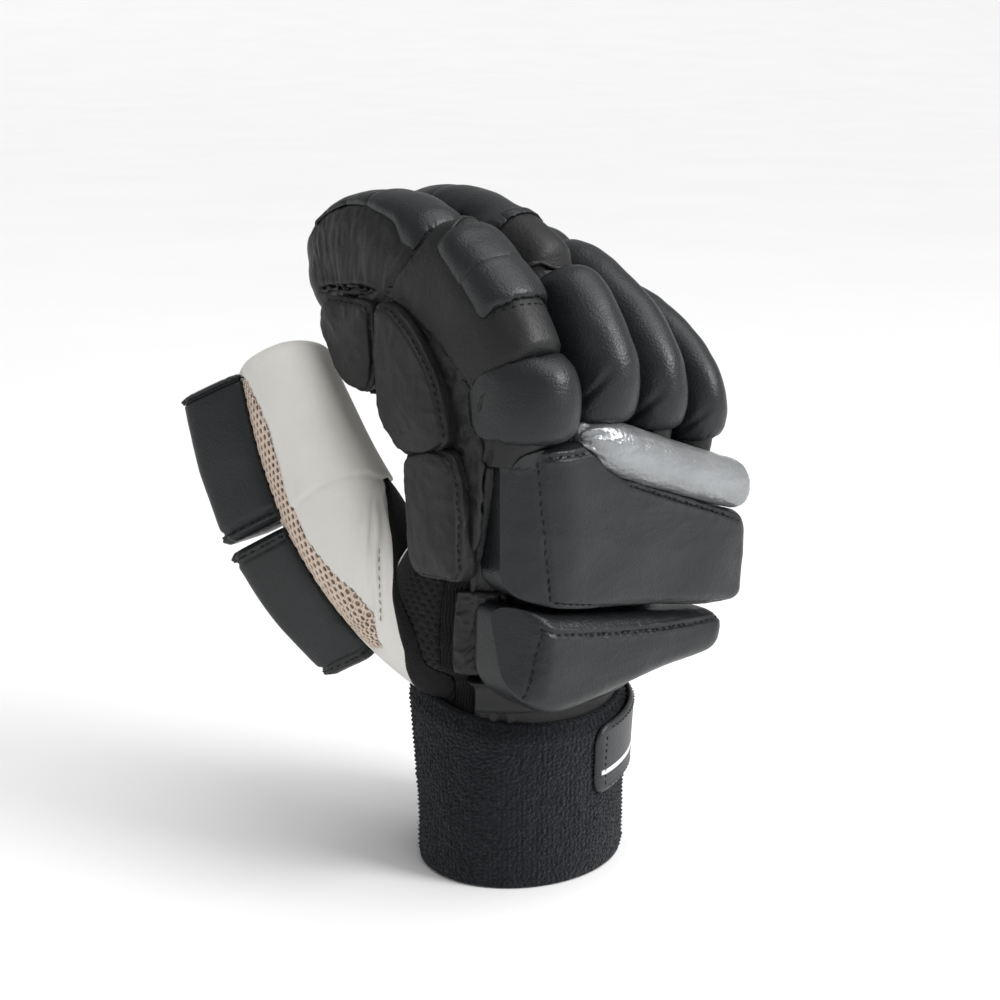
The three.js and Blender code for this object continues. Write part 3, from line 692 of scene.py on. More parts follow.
def handPoint(share, degrees, offset=0):
    row = readRows(hand["sections"], share)
    height, lean, width, depth, root = (row[..., k] for k in range(5))
    wristHalf = cuffPoint(hand["foot"], 0, -wristband["wall"] - hand["air"])[0]
    wristDepth = cuffPoint(hand["foot"], 90, -wristband["wall"] - hand["air"])[1]
    halfWidth = mix(wristHalf, knuckleWidth / 2, width) + offset
    halfDepth = mix(wristDepth, hand["knuckleHalfDepth"], depth) + offset
    square = mix(2, hand["squareness"], np.minimum(1, height * 3))
    x, y = ovalPoint(halfWidth, halfDepth, degrees, square)
    bulge = hand["thumbRoot"] * root * bell(degrees, hand["thumbRootAngle"], hand["thumbRootSpread"])
    turn = math.radians(hand["thumbRootAngle"])
    return stack(
        x + bulge * math.cos(turn),
        y - lean * hand["lean"] + bulge * math.sin(turn),
        hand["foot"] + height * hand["height"],
    )


def knuckleHeight(x):
    return hand["foot"] + hand["height"] - hand["knuckleSlope"] * (x + knuckleWidth / 2)


def makePanel(name, columns, rows, relief):
    low, high = hand[name]
    angles = np.linspace(low + hand["seam"] / 2, high - hand["seam"] / 2, columns)
    dense = np.linspace(0, 1, 400)
    outer, inner = [], []
    for angle in angles:
        column = handPoint(dense, angle)
        shares = np.linspace(0, np.interp(0, column[:, 2] - knuckleHeight(column[:, 0]), dense), rows)
        depth = relief(shares, angle) if relief else 0
        # the panel's own edges turn in towards the seam
        inward = 0.7 * (bell(angle, angles[0], 0.9) + bell(angle, angles[-1], 0.9))
        skin = handPoint(shares, angle, 0)
        outer.append(skin + (handPoint(shares, angle, 1) - skin) * np.reshape(depth - inward, (-1, 1)))
        inner.append(handPoint(shares, angle, -hand["wall"]))
    outer, inner = (np.array(sheet).transpose(1, 0, 2) for sheet in (outer, inner))
    return makeMesh(f"{name}Panel", *plate(outer, inner))


def handSolid(offset, count=120):
    # the filled hand, which other pieces stay clear of
    angles = np.linspace(0, 360, count, endpoint=False)
    shares = np.linspace(0, 1, 90)
    rings = np.array([handPoint(np.full(count, share), angles, offset) for share in shares])
    rings[..., 2] = np.minimum(rings[..., 2], knuckleHeight(rings[..., 0]) + offset)
    rings[0, :, 2] -= 12
    return makeMesh("handForm", *loft(rings))


# apart: between the mesh's holes and the elastic's cords; perDegree: how far a degree reaches
meshHoles = {"apart": 2.6, "perDegree": 0.62, "stretch": 1.15, "depth": 0.9, "spread": 0.055}
elasticCords = {"apart": 1.5, "perDegree": 0.66, "height": 0.42}


def eyelets(shares, angle):
    # round holes of the mesh cloth, in staggered rows
    along = shares * hand["height"] * meshHoles["stretch"] / meshHoles["apart"]
    aside = angle * meshHoles["perDegree"] / meshHoles["apart"]
    row = np.round(along)
    shift = (row % 2) * 0.5
    u = aside - shift - np.round(aside - shift)
    v = along - row
    holes = -meshHoles["depth"] * np.exp(-((u**2 + v**2) / meshHoles["spread"]))
    return holes * easeStep(168, 172, angle) * easeStep(0.02, 0.08, shares)


def ribs(shares, angle):
    # the elastic's cords, which sway where the cloth gathers
    sway = 0.5 * np.sin(shares * 23) + 0.3 * np.sin(shares * 51 + 1)
    turns = angle * elasticCords["perDegree"] / elasticCords["apart"] + sway
    return elasticCords["height"] * np.cos(turns * 2 * math.pi) - 0.2


def backCreases(shares, angle):
    # broad and fine creases of the hand's back, beside the elastic only
    spots = np.stack([shares * 9, np.full_like(shares, angle * 0.11), np.zeros_like(shares)], 1)
    fine = np.stack([shares * 26, np.full_like(shares, angle * 0.2), np.ones_like(shares)], 1)
    near = bell(angle, 212, 26)
    return (np.clip(creases(spots, 3), -0.4, 1) * 0.9 + np.clip(creases(fine, 5), -0.4, 1) * 0.35) * near


# Fingers: curled sleeves, and the padded rolls sewn along their backs

# reach, rise, width and depth as shares, from the knuckle to the tip
curl = [
    (0, -0.06, 1, 0.86), (-0.04, 0.3, 1, 0.98), (0.06, 0.6, 1, 1.03), (0.29, 0.86, 1, 1.02),
    (0.57, 1, 0.98, 1), (0.82, 1, 0.95, 0.95), (1, 0.92, 0.88, 0.84),
]
# where the sleeves themselves are padded along their backs: from, to and height
padding = {
    "index": ((0.225, 0.57, 8.2), (0.6, 1.2, 4.2)), "middle": ((0.42, 0.6, 7.8), (0.6, 1.2, 4.6)),
    "ring": ((0.61, 1.2, 4.4),), "little": ((0.63, 1.2, 4),),
}
sleeveSquareness = 2.5


def fingerX(name):
    names = list(fingers)
    before = names[:names.index(name)]
    left = -knuckleWidth / 2 + sum(fingers[n]["width"] + fingerAir for n in before)
    return left + fingers[name]["width"] / 2


def fingerSection(name, share):
    finger = fingers[name]
    share = np.asarray(share, float)

    def place(s):
        row = readRows(curl, s)
        return stack(
            fingerX(name),
            row[..., 0] * finger["reach"] - hand["lean"],
            row[..., 1] * finger["rise"] + knuckleHeight(fingerX(name)),
        )

    along = unit(place(share + 0.02) - place(share - 0.02))
    row = readRows(curl, share)
    ease = 0.045
    pad = sum(
        high * easeStep(low, low + ease, share) * easeStep(top, top - ease, share)
        for low, top, high in padding[name]
    )
    return {
        "centre": place(share),
        "along": along,
        "back": stack(np.zeros_like(share), -along[..., 2], along[..., 1]),
        "halfWidth": row[..., 2] * finger["width"] / 2,
        "halfDepth": row[..., 3] * finger["depth"] / 2,
        "pad": pad,
    }


def besides(section, across, high):
    point = section["centre"] + section["back"] * np.asarray(high)[..., None]
    point[..., 0] += across
    return point


def sleevePoint(name, share, degrees, offset=0.0, size=1.0, beyond=0.0):
    section = fingerSection(name, share)
    halfDepth = section["halfDepth"]
    halfWidth = (section["halfWidth"] + offset) * size
    x, y = ovalPoint(halfWidth, (halfDepth + offset) * size, degrees, sleeveSquareness)
    y = y + np.maximum(0, y / halfDepth) * section["pad"] * size
    section["centre"] = section["centre"] + section["along"] * np.asarray(beyond)[..., None]
    return besides(section, -x, y)


def makeSleeve(name, rows, columns, relief):
    # the outer skin with a rounded tip, then the bore back down to the knuckle
    angles = np.linspace(0, 360, columns, endpoint=False)
    bore = fingers[name]["bore"] / 2
    tip = fingerSection(name, 1.0)
    stops = [(t, 1.0, 0.0) for t in np.linspace(0, 1, rows)]
    turns = np.radians(np.linspace(6, 88, 16))
    stops += [(1.0, math.cos(t), tip["halfDepth"] * 0.75 * math.sin(t)) for t in turns]
    rings = []
    for share, size, beyond in stops:
        full = np.full(columns, share)
        skin, lifted = (
            sleevePoint(name, full, angles, offset, size, np.full(columns, beyond)) for offset in (0, 1)
        )
        rings.append(skin + unit(lifted - skin) * (relief(full, angles) * size)[:, None])
    rings = np.array(rings)
    rings[..., 2] = np.maximum(rings[..., 2], knuckleHeight(rings[..., 0]) + seamAir)
    hollow = []
    for share, size, beyond in stops[:0:-3] + stops[:1]:
        section = fingerSection(name, np.full(columns, share))
        x, y = ovalPoint(bore * size, bore * size, angles)
        low = section["halfDepth"] - 4 - bore
        section["centre"] = section["centre"] + section["along"] * beyond * 0.6
        hollow.append(besides(section, -x, y - low))
    hollow = np.array(hollow)
    hollow[..., 2] = np.maximum(hollow[..., 2], knuckleHeight(hollow[..., 0]) + seamAir)
    outer, outerFaces = loft(rings, False, True)
    inner, innerFaces = loft(hollow, True, False)
    points, faces = joined([(outer, outerFaces), (inner, innerFaces)])
    last = len(outer) + (len(hollow) - 1) * columns
    for j in range(columns):
        k = (j + 1) % columns
        faces.append((j, k, last + k, last + j))
    return makeMesh(f"{name}Sleeve", points, faces)


# where the index sleeve's palm seam runs: share along the finger and degrees round it
palmSeamTurns = [
    (0.1, 35), (0.2, 9), (0.3, -3), (0.42, -7), (0.52, -13), (0.61, -15), (0.7, -16), (0.84, -18), (1, -13),
]


def indexRelief(share, degrees):
    # the leather on the thumb side is slack: folds run round the finger, and the band
    # under the palm seam is gathered lengthwise
    turn = (degrees + 180) % 360 - 180
    seamTurn = np.interp(share, *np.transpose(palmSeamTurns))
    above = turn - seamTurn
    upper = easeStep(0, 9, above) * easeStep(120, 50, turn)
    lower = easeStep(0, -6, above) * easeStep(-62, -40, turn)
    side = np.stack([share * 62, turn / 26, np.zeros_like(share)], 1)
    long_ = np.stack([share * 13 + turn / 30, turn / 5.5, np.ones_like(share)], 1)
    amount = upper * np.clip(creases(side, 2), -0.5, 1) * 0.32 * easeStep(0.45, 0.62, share)
    amount += upper * roughness(np.stack([share * 12, turn / 22, share], 1), 7) * 0.7
    amount += lower * (np.clip(creases(long_, 4), -0.6, 1) * 0.9 - 1.2) * easeStep(1.0, 0.86, share)
    return amount


def plainRelief(share, degrees):
    x, y = ovalPoint(1.3, 1.3, degrees)
    return roughness(np.stack([share * 14, x, y], 1), 9) * 0.45


# from, to, height and shoulder at both ends, fullness at both ends, and the CAD rolls
# that each piece stands for
rolls = {
    "index": [
        (0.125, 0.25, 13.6, 14, 0.36, 0.4, 3, 3, (1,)),
        (0.345, 0.425, 10.6, 10.6, 0.72, 0.74, 7, 9, (2,)),
        (0.417, 0.51, 10.6, 10, 0.72, 0.78, 9, 4, (3,)),
        (0.56, 0.745, 6.6, 6.4, 0.76, 0.9, 5, 12, (4,)),
        (0.735, 0.835, 6.2, 5.8, 0.9, 0.93, 12, 12, (5,)),
        (0.825, 0.915, 5.8, 5.2, 0.93, 0.92, 12, 12, (6,)),
        (0.905, 0.99, 5.2, 4.6, 0.92, 0.86, 12, 5, (7,)),
    ],
    "middle": [
        (0.15, 0.42, 13, 11.5, 0.42, 0.5, 4, 6, (1, 2)),
        (0.54, 0.745, 7.5, 6.8, 0.7, 0.85, 6, 12, (3,)),
        (0.735, 0.835, 6.8, 6.2, 0.85, 0.9, 12, 12, (4,)),
        (0.825, 0.915, 6.2, 5.6, 0.9, 0.9, 12, 12, (5,)),
        (0.905, 0.99, 5.6, 5, 0.9, 0.84, 12, 5, (6,)),
    ],
    "ring": [
        (0.15, 0.61, 12.5, 9, 0.42, 0.5, 4, 7, (1, 2)),
        (0.6, 0.805, 7.5, 6.5, 0.62, 0.8, 7, 12, (3,)),
        (0.795, 0.98, 6.5, 5, 0.8, 0.8, 12, 5, (4,)),
    ],
    "little": [
        (0.15, 0.63, 11.5, 8, 0.42, 0.5, 4, 7, (1, 2)),
        (0.625, 0.96, 6.5, 5, 0.62, 0.75, 7, 5, (3,)),
    ],
}


def rollPoint(name, row, t, turns, lift=0.0):
    low, high, liftLow, liftHigh, shoulderLow, shoulderHigh, sharpLow, sharpHigh, _ = row
    t = np.asarray(t, float)
    share = mix(low, high, t)
    section = fingerSection(name, share)
    shoulder = mix(shoulderLow, shoulderHigh, t)
    lowTurn = np.degrees(np.arcsin(shoulder ** (sleeveSquareness / 2)))
    seatHalf = section["halfWidth"] * np.cos(np.radians(lowTurn)) ** (2 / sleeveSquareness)
    pitch = fingers[name]["width"] + fingerAir - seamAir
    narrow = section["halfWidth"] / (fingers[name]["width"] / 2)
    foot = section["halfDepth"] * shoulder + section["pad"] * shoulder
    height = section["halfDepth"] + mix(liftLow, liftHigh, t) - foot
    wide = np.minimum(pitch / 2 * narrow, seatHalf + 1.6)
    x, y = ovalPoint(wide + lift, height + lift, turns, 2.1)
    full = besides(section, -x, foot + y)
    skin = sleevePoint(name, share, mix(lowTurn - 3, 183 - lowTurn, (turns + 14) / 208), seamAir)
    edge = np.where(t < 0.5, 1 - np.abs(1 - 2 * t) ** sharpLow, 1 - np.abs(2 * t - 1) ** sharpHigh)
    swelling = np.clip(edge, 0, 1) ** 0.5
    return mix(skin, full, np.maximum(swelling, 0.02)[..., None]), skin


def makeRoll(name, row, rows, columns=48):
    # the upper half of a roll, from its foot on one side to its foot on the other
    turns = np.linspace(-14, 194, columns)
    sheets = [rollPoint(name, row, np.full(columns, t), turns) for t in softEnds(rows, 0.92)]
    outer, inner = (np.array([s[k] for s in sheets]) for k in range(2))
    return makeMesh(f"{name}Roll{row[-1][0]}", *plate(outer, inner))


# Flat pads and blocks

def smoothLoop(corners, rounding, count):
    # a closed outline with rounded corners, as evenly spaced points
    corners = np.array(corners, float)
    path = []
    for k in range(len(corners)):
        before, here, after = corners[k - 1], corners[k], corners[(k + 1) % len(corners)]
        lengthIn, lengthOut = np.linalg.norm(before - here), np.linalg.norm(after - here)
        cut = min(rounding, lengthIn / 2, lengthOut / 2)
        start = here + (before - here) / lengthIn * cut
        end = here + (after - here) / lengthOut * cut
        for t in np.linspace(0, 1, 9):
            path.append((1 - t) ** 2 * start + 2 * t * (1 - t) * here + t * t * end)
    path = np.array(path + [path[0]])
    along = np.concatenate([[0], np.cumsum(np.linalg.norm(np.diff(path, axis=0), axis=1))])
    at = np.linspace(0, along[-1], count, endpoint=False)
    return np.stack([np.interp(at, along, path[:, 0]), np.interp(at, along, path[:, 1])], 1)


def edgeDistance(points, loop):
    best = np.full(points.shape[:-1], 1e9)
    for start, end in zip(loop, np.roll(loop, -1, axis=0)):
        way = end - start
        t = np.clip(((points - start) @ way) / max(way @ way, 1e-9), 0, 1)
        best = np.minimum(best, np.linalg.norm(points - start - t[..., None] * way, axis=-1))
    return best


def slabRings(corners, centre, thickness, edge, crown, rounding, count, faceRows, sideRows):
    # a cushion-like slab: its outline in a plane, and the height of every ring over it
    loop = smoothLoop(corners, rounding, count)
    centre = np.array(centre, float)
    widest = np.linalg.norm(loop - centre, axis=1).max()
    flats, heights = [], []
    shares = np.sin(np.linspace(0.02, 1, faceRows) * math.pi / 2)
    for side in (1, -1):
        for share in shares if side == 1 else shares[::-1]:
            ring = centre + (loop - centre) * share
            depth = edgeDistance(ring, loop)
            near = np.clip(depth / edge, 0, 1)
            rounded = edge * (1 - np.sqrt(1 - (1 - near) ** 2))
            crowned = crown * (1 - np.exp(-depth / (widest * 0.3)))
            flats.append(ring)
            heights.append(side * (thickness / 2 - rounded + (crowned if side == 1 else 0)))
        if side == 1:
            for t in np.linspace(0, 1, sideRows + 2)[1:-1]:
                flats.append(loop)
                heights.append(np.full(count, mix(thickness / 2 - edge, -thickness / 2 + edge, t)))
    return np.array(flats), np.array(heights), loop


backBlock = {
    "left": -46.5, "width": 105.5, "foot": 113, "height": 54, "face": -57.5, "back": -30, "edge": 5,
    "endSlant": 12.5, "slantDepth": 14, "tilt": 0.0, "crease": 8, "crown": 2.8, "centre": (0.4, 0.36),
    "corners": [
        (0, 0.12), (0.13, 0), (0.98, -0.27), (1, 0.33), (0.5, 0.71), (0.4, 0.8), (0.31, 1.02), (0, 0.99),
    ],
}
wristBlock = {
    "left": -46.5, "width": 97, "foot": 79, "height": 33, "face": -56, "back": -26, "edge": 7,
    "endSlant": 11, "slantDepth": 18, "tilt": 0.16, "crease": 5, "crown": 2.0, "centre": (0.45, 0.45),
    "corners": [(0, 0.2), (0.14, -0.15), (0.98, 0.1), (1, 0.5), (0.13, 0.97), (0, 1.08)],
}


def makeBlock(name, block):
    place = lambda c: (block["left"] + c[0] * block["width"], block["foot"] + c[1] * block["height"])
    thickness = block["back"] - block["face"]
    flats, heights, _ = slabRings(
        [place(c) for c in block["corners"]], place(block["centre"]), thickness, block["edge"],
        block["crown"], rounding=7, count=220, faceRows=46, sideRows=12,
    )
    x, z = flats[..., 0], flats[..., 1]
    y = (block["back"] + block["face"]) / 2 - heights
    high = block["foot"] + block["height"]
    crease = block["left"] + block["endSlant"] - block["tilt"] * (high - z)
    plane = block["face"] + block["slantDepth"] / block["endSlant"] * (crease - x)
    y = np.where(plane > block["face"] - 14, softMax(y, plane, block["crease"]), y)
    return makeMesh(name, *loft(stack(x, np.minimum(y, block["back"]), z)))


wings = {
    "thickness": 9, "inset": 4, "edge": 3.4, "crown": 2.2, "reach": 0.045,
    "tip": [
        (0.8, 0.84), (0.83, 0.66), (0.74, 0.42), (0.66, 0.33), (0.57, 0.3), (0.475, 0.34),
        (0.46, 0.62), (0.48, 0.84),
    ],
    "middle": [
        (0.45, 0.84), (0.455, 0.5), (0.43, 0.24), (0.4, 0.14), (0.29, 0.0), (0.1, 0.02), (-0.02, 0.12),
        (0.02, 0.36), (0.12, 0.6), (0.24, 0.76), (0.36, 0.86),
    ],
    "base": [
        (0.26, 0.02), (0.26, -0.18), (0.24, -0.58), (0.2, -0.69), (-0.1, -0.65), (-0.1, -0.4), (-0.08, -0.1),
        (-0.05, 0.08), (0.08, 0.1),
    ],
    # the leather that joins the pads, behind them
    "web": [
        (0.74, 0.8), (0.62, 0.46), (0.42, 0.36), (0.3, 0.08), (0.2, -0.1), (0.16, -0.5),
        (-0.12, -0.5), (-0.16, 0.1), (-0.1, 0.5), (0.1, 0.78), (0.4, 0.95),
    ],
    "centres": {"tip": (0.62, 0.52), "middle": (0.3, 0.36), "base": (0.08, -0.3), "web": (0.15, 0.35)},
    # which stretch of each outline shows a raw edge, as shares of its length
    "raw": {"tip": (0.08, 0.52), "middle": (0.1, 0.5), "base": (0.02, 0.5)},
}
wingMiddle = -knuckleWidth / 2 + wings["inset"] - wings["thickness"] / 2


def wingPlace(corner):
    # from shares of the index finger's reach and rise to Y and Z
    finger = fingers["index"]
    return (
        (corner[0] + wings["reach"]) * finger["reach"] - hand["lean"],
        corner[1] * finger["rise"] + knuckleHeight(fingerX("index")),
    )


def wingSlab(pieceName, name, middle, *form):
    corners, centre = [wingPlace(c) for c in wings[name]], wingPlace(wings["centres"][name])
    flats, heights, loop = slabRings(corners, centre, *form)
    return makeMesh(pieceName, *loft(stack(middle - heights, flats[..., 0], flats[..., 1]))), loop


def makeWing(name):
    form = wings["thickness"], wings["edge"], wings["crown"], 5, 140, 26, 6
    return wingSlab(f"indexWing{name.capitalize()}", name, wingMiddle, *form)


def makeWeb():
    web, _ = wingSlab("indexWeb", "web", -knuckleWidth / 2 + 1.5, 2, 0.9, 0, 8, 130, 26, 4)
    swell(web, np.clip(creases(readPoints(web) * [0, 0.1, 0.22], 4), -0.4, 1) * 0.7)
    return web


# Silver bar over the knuckles

knuckleBar = {
    "left": -21, "right": 55, "high": 166, "fall": 24, "middle": -52, "deep": 1.1,
    # along, rise and radius
    "sections": [
        (0, 0.1, 3), (0.05, 0.06, 6.5), (0.16, -0.06, 9.6), (0.34, -0.28, 9.9), (0.62, -0.6, 9.5),
        (0.9, -0.91, 9.2), (0.975, -0.97, 8.7), (1, -0.99, 6),
    ],
}


def barPoint(share, degrees, offset=0.0):
    row = readRows(knuckleBar["sections"], share)
    along, rise, radius = (row[..., k] for k in range(3))
    x, y = ovalPoint(radius * knuckleBar["deep"] + offset, radius + offset, degrees, 2.3)
    return stack(
        mix(knuckleBar["left"], knuckleBar["right"], along),
        knuckleBar["middle"] + x,
        knuckleBar["high"] + rise * knuckleBar["fall"] + y,
    )


def makeBar():
    columns = 96
    angles = np.linspace(0, 360, columns, endpoint=False)
    turns = np.radians(angles)
    rings = []
    for t in softEnds(140, 0.4):
        ring = barPoint(np.full(columns, t), angles)
        # the foil leather is gathered into the seam at its thumb end
        gathers = np.sin(turns * 9 + 1.3 * np.sin(turns * 2))
        depth = 0.9 * gathers * bell(t, 0.04, 0.13) + 0.3 * roughness(ring / 6, 3)
        depth = depth + 0.22 * roughness(ring * [0.12, 0.9, 0.9], 5)
        end = 0.6 * np.sin(turns * 7) * bell(t, 0.98, 0.03)
        out = unit(barPoint(np.full(columns, t), angles, 1.0) - ring)
        rings.append(ring + out * (depth + end)[:, None])
    return makeMesh("knuckleBarPad", *loft(np.array(rings)))


# Thumb: a leather tube with a strip of net let into its side, and two guards on its back

thumb = {
    "root": np.array([-24.0, 4, 74]), "out": 37, "reach": 54, "rise": 108, "halfWidth": 18,
    "halfDepth": 18.5, "wall": 2.6, "facing": 25, "length": 118,
    # out, reach, rise, width and depth as shares
    "sections": [
        (0, 0, 0, 0.8, 0.8), (0.5, 0.2, 0.24, 0.96, 1.05), (0.84, 0.46, 0.5, 1, 1.12),
        (0.97, 0.73, 0.75, 1, 1.04), (1, 1, 1, 0.94, 0.86),
    ],
}
net = {
    "low": 0.23, "high": 0.985, "pitch": 2.45, "depth": 1.5,
    # share along the thumb, and the net's two edges in degrees
    "edges": [
        (0.23, -30, -12), (0.3, -46, 2), (0.36, -50, 0), (0.43, -52, -8), (0.53, -52, -17), (0.7, -52, -15),
        (0.8, -52, -13), (0.88, -51, -18), (0.96, -46, -26), (1.0, -40, -33),
    ],
}
guards = {
    "thickness": 21.5, "seat": 6, "halfWidth": 16, "squareness": 6,
    "base": (0.2, 0.58), "tip": (0.6, 1.02),
}
thumbFacing = math.radians(thumb["facing"])
thumbPalm = np.array([math.sin(thumbFacing), -math.cos(thumbFacing), 0])
crossSeam = [(0.609, -14), (0.624, 17), (0.619, 45), (0.604, 73), (0.574, 92), (0.56, 120), (0.57, 160)]


def thumbSection(share):
    share = np.asarray(share, float)

    def place(s):
        row = readRows(thumb["sections"], s)
        return thumb["root"] + row[..., :3] * [-thumb["out"], thumb["reach"], thumb["rise"]]

    row = readRows(thumb["sections"], share)
    along = unit(place(share + 0.03) - place(share - 0.03))
    across = unit(np.cross(thumbPalm, along))
    return {
        "centre": place(share), "along": along, "across": across, "front": np.cross(along, across),
        "halfWidth": thumb["halfWidth"] * row[..., 3], "halfDepth": thumb["halfDepth"] * row[..., 4],
    }


def thumbPoint(share, degrees, offset=0.0, size=1.0, beyond=0.0):
    section = thumbSection(share)
    halfWidth, halfDepth = (section[half] + offset for half in ("halfWidth", "halfDepth"))
    x, y = ovalPoint(halfWidth * size, halfDepth * size, degrees, 2.3)
    centre = section["centre"] + section["along"] * np.asarray(beyond)[..., None]
    return centre + section["across"] * x[..., None] + section["front"] * y[..., None]


def netEdges(share):
    rows = np.array(net["edges"])
    return np.interp(share, rows[:, 0], rows[:, 1]), np.interp(share, rows[:, 0], rows[:, 2])


def thumbRelief(share, degrees):
    turn = (degrees + 180) % 360 - 180
    left, right = netEdges(share)
    inside = easeStep(left - 3, left - 0.5, turn) * easeStep(right + 2.5, right + 0.5, turn)
    inside = inside * easeStep(net["low"] - 0.02, net["low"], share)
    lipRight = bell(turn, right + 3.5, 2.2) * easeStep(net["low"], 0.3, share)
    seamAt = np.interp(turn, [p[1] for p in crossSeam], [p[0] for p in crossSeam])
    past = (share - seamAt) * 120
    step = 1.1 * (easeStep(-0.5, 0.7, past) - easeStep(0.5, 26, past)) * (np.abs(turn) < 150)
    # below the cross seam the leather folds towards the palm
    fan = np.degrees(np.arctan2((share - 0.58) * 110, (turn - 96) * 0.33))
    below = easeStep(1, -9, past) * easeStep(0.25, 0.4, share) * easeStep(-5, 40, turn)
    folds = np.clip(creases(np.stack([fan / 13, share * 3, np.zeros_like(share)], 1), 6), -0.5, 1)
    dent = 2.0 * below * bell(turn, 78, 26) * bell(share, 0.5, 0.06)
    slack = roughness(np.stack([share * 5, turn / 60, np.zeros_like(share)], 1), 8) * 0.6
    form = step + below * folds * 0.5 - dent * 0.7 + slack
    return -net["depth"] * inside + 0.35 * lipRight + form * (1 - inside)


def thumbStops(start, rows, roundedTurns, offset=0.0):
    # share along the thumb, size and how far past its end, for every ring up to a rounded tip
    reach = thumbSection(1.0)["halfDepth"] * 0.5 + offset
    stops = [(t, 1.0, 0.0) for t in np.linspace(start, 1, rows)]
    return stops + [(1.0, math.cos(t), reach * math.sin(t)) for t in np.radians(roundedTurns)]


def makeThumb():
    columns = 136
    angles = np.linspace(0, 360, columns, endpoint=False)
    rings = []
    for share, size, beyond in thumbStops(0.04, 140, np.linspace(6, 88, 16)):
        full, far = np.full(columns, share), np.full(columns, beyond)
        skin = thumbPoint(full, angles, 0.0, size, far)
        out = unit(thumbPoint(full, angles, 1.0, size, far) - skin)
        rings.append(skin + out * (thumbRelief(full, angles) * size)[:, None])
    return makeMesh("thumbLeather", *loft(np.array(rings)))


def thumbHollow(offset):
    columns = 64
    angles = np.linspace(0, 360, columns, endpoint=False)
    rings = [
        thumbPoint(np.full(columns, share), angles, offset, size, np.full(columns, beyond))
        for share, size, beyond in thumbStops(0, 60, np.linspace(10, 86, 8), offset)
    ]
    return makeMesh("thumbHollow", *loft(np.array(rings)))


def makeNet():
    # yarn walls round hexagonal holes; each cell's rim is shared with its neighbours
    length = thumb["length"] * (net["high"] - net["low"])
    pitch = net["pitch"]
    rowGap = pitch * 0.866
    degreesPerMm = 1 / 0.32
    corners = np.radians(np.arange(12) * 30.0)
    hexagon = pitch / math.sqrt(3) * np.where(np.arange(12) % 2, math.cos(math.pi / 6), 1)
    # radius and height of each ring of a cell: its rim, the yarn's crown, the hole and the back
    round_ = np.full(12, pitch / 2)
    cell = (
        (hexagon, -0.2), (round_ * 0.8, -0.12), (round_ * 0.62, -0.35), (round_ * 0.62, -1.0),
        (hexagon, -1.0),
    )
    shapes = []
    for row in range(int(length / rowGap) + 1):
        for column in range(-2, 26):
            along = row * rowGap
            aside = (column + 0.5 * (row % 2)) * pitch
            share = net["low"] + along / thumb["length"]
            left, right = netEdges(min(share, 1.0))
            turn = left + aside * degreesPerMm
            if share > net["high"] or turn > right + 3 or turn < left - 4:
                continue
            rings = []
            for radius, height in cell:
                u = net["low"] + (along + radius * np.cos(corners)) / thumb["length"]
                v = aside + radius * np.sin(corners)
                rings.append(thumbPoint(np.minimum(u, 1.0), left + v * degreesPerMm, height))
            shapes.append(loft(np.array(rings), False, False))
    return makeMesh("thumbNet", *joined(shapes), weld=0.12)


def makeLining():
    rows, columns = 60, 16
    sheets = []
    for offset in (-1.15, -1.45):
        sheet = []
        for share in np.linspace(net["low"], net["high"], rows):
            left, right = netEdges(share)
            turns = np.linspace(left - 2, right + 1.5, columns)
            sheet.append(thumbPoint(np.full(columns, share), turns, offset))
        sheets.append(np.array(sheet))
    return makeMesh("thumbLining", *plate(*sheets))


# black knit over the thumb's root, up to the edge of the white leather: share along the
# thumb and degrees round it, at its near and far edge
rootKnitForm = {
    "near": [
        (0, -48), (0.105, -24), (0.193, 7), (0.248, 20), (0.303, 31), (0.383, 53), (0.444, 70),
        (0.514, 86), (0.579, 95),
    ],
    "far": [(0, 185), (0.3, 165), (0.45, 128), (0.575, 99)],
    "top": 0.575, "rows": 70, "columns": 50, "lift": 0.7, "sunk": -0.4, "hem": 0.8,
}


def makeRootKnit():
    columns = rootKnitForm["columns"]
    sheets = []
    for lift, hem in ((rootKnitForm["lift"], rootKnitForm["hem"]), (rootKnitForm["sunk"], 0)):
        sheet = []
        for share in np.linspace(0, rootKnitForm["top"], rootKnitForm["rows"]):
            near, far = (np.interp(share, *np.transpose(rootKnitForm[side])) for side in ("near", "far"))
            turns = np.linspace(near, far, columns)
            sheet.append(thumbPoint(np.full(columns, share), turns, lift - hem * bell(turns, near, 2.5)))
        sheets.append(np.array(sheet))
    return makeMesh("thumbRootKnit", *plate(*sheets))


def guardPoint(name, t, degrees, lift=0.0):
    low, high = guards[name]
    half = (guards["thickness"] + guards["seat"]) / 2
    t, degrees = np.broadcast_arrays(np.asarray(t, float), np.asarray(degrees, float))
    share = mix(low, high, t)
    section = thumbSection(share)
    beyond = np.maximum(0, share - 1) * thumb["rise"]
    size = 0.82 + 0.18 * np.clip(1 - np.abs(2 * t - 1) ** 18, 0, 1) ** 0.4
    x, y = ovalPoint(guards["halfWidth"] * size + lift, half * size + lift, degrees, guards["squareness"])
    centre = section["centre"] + section["along"] * beyond[..., None]
    rise = y + guards["seat"] - half - section["halfDepth"]
    return centre + section["across"] * x[..., None] + section["front"] * rise[..., None]


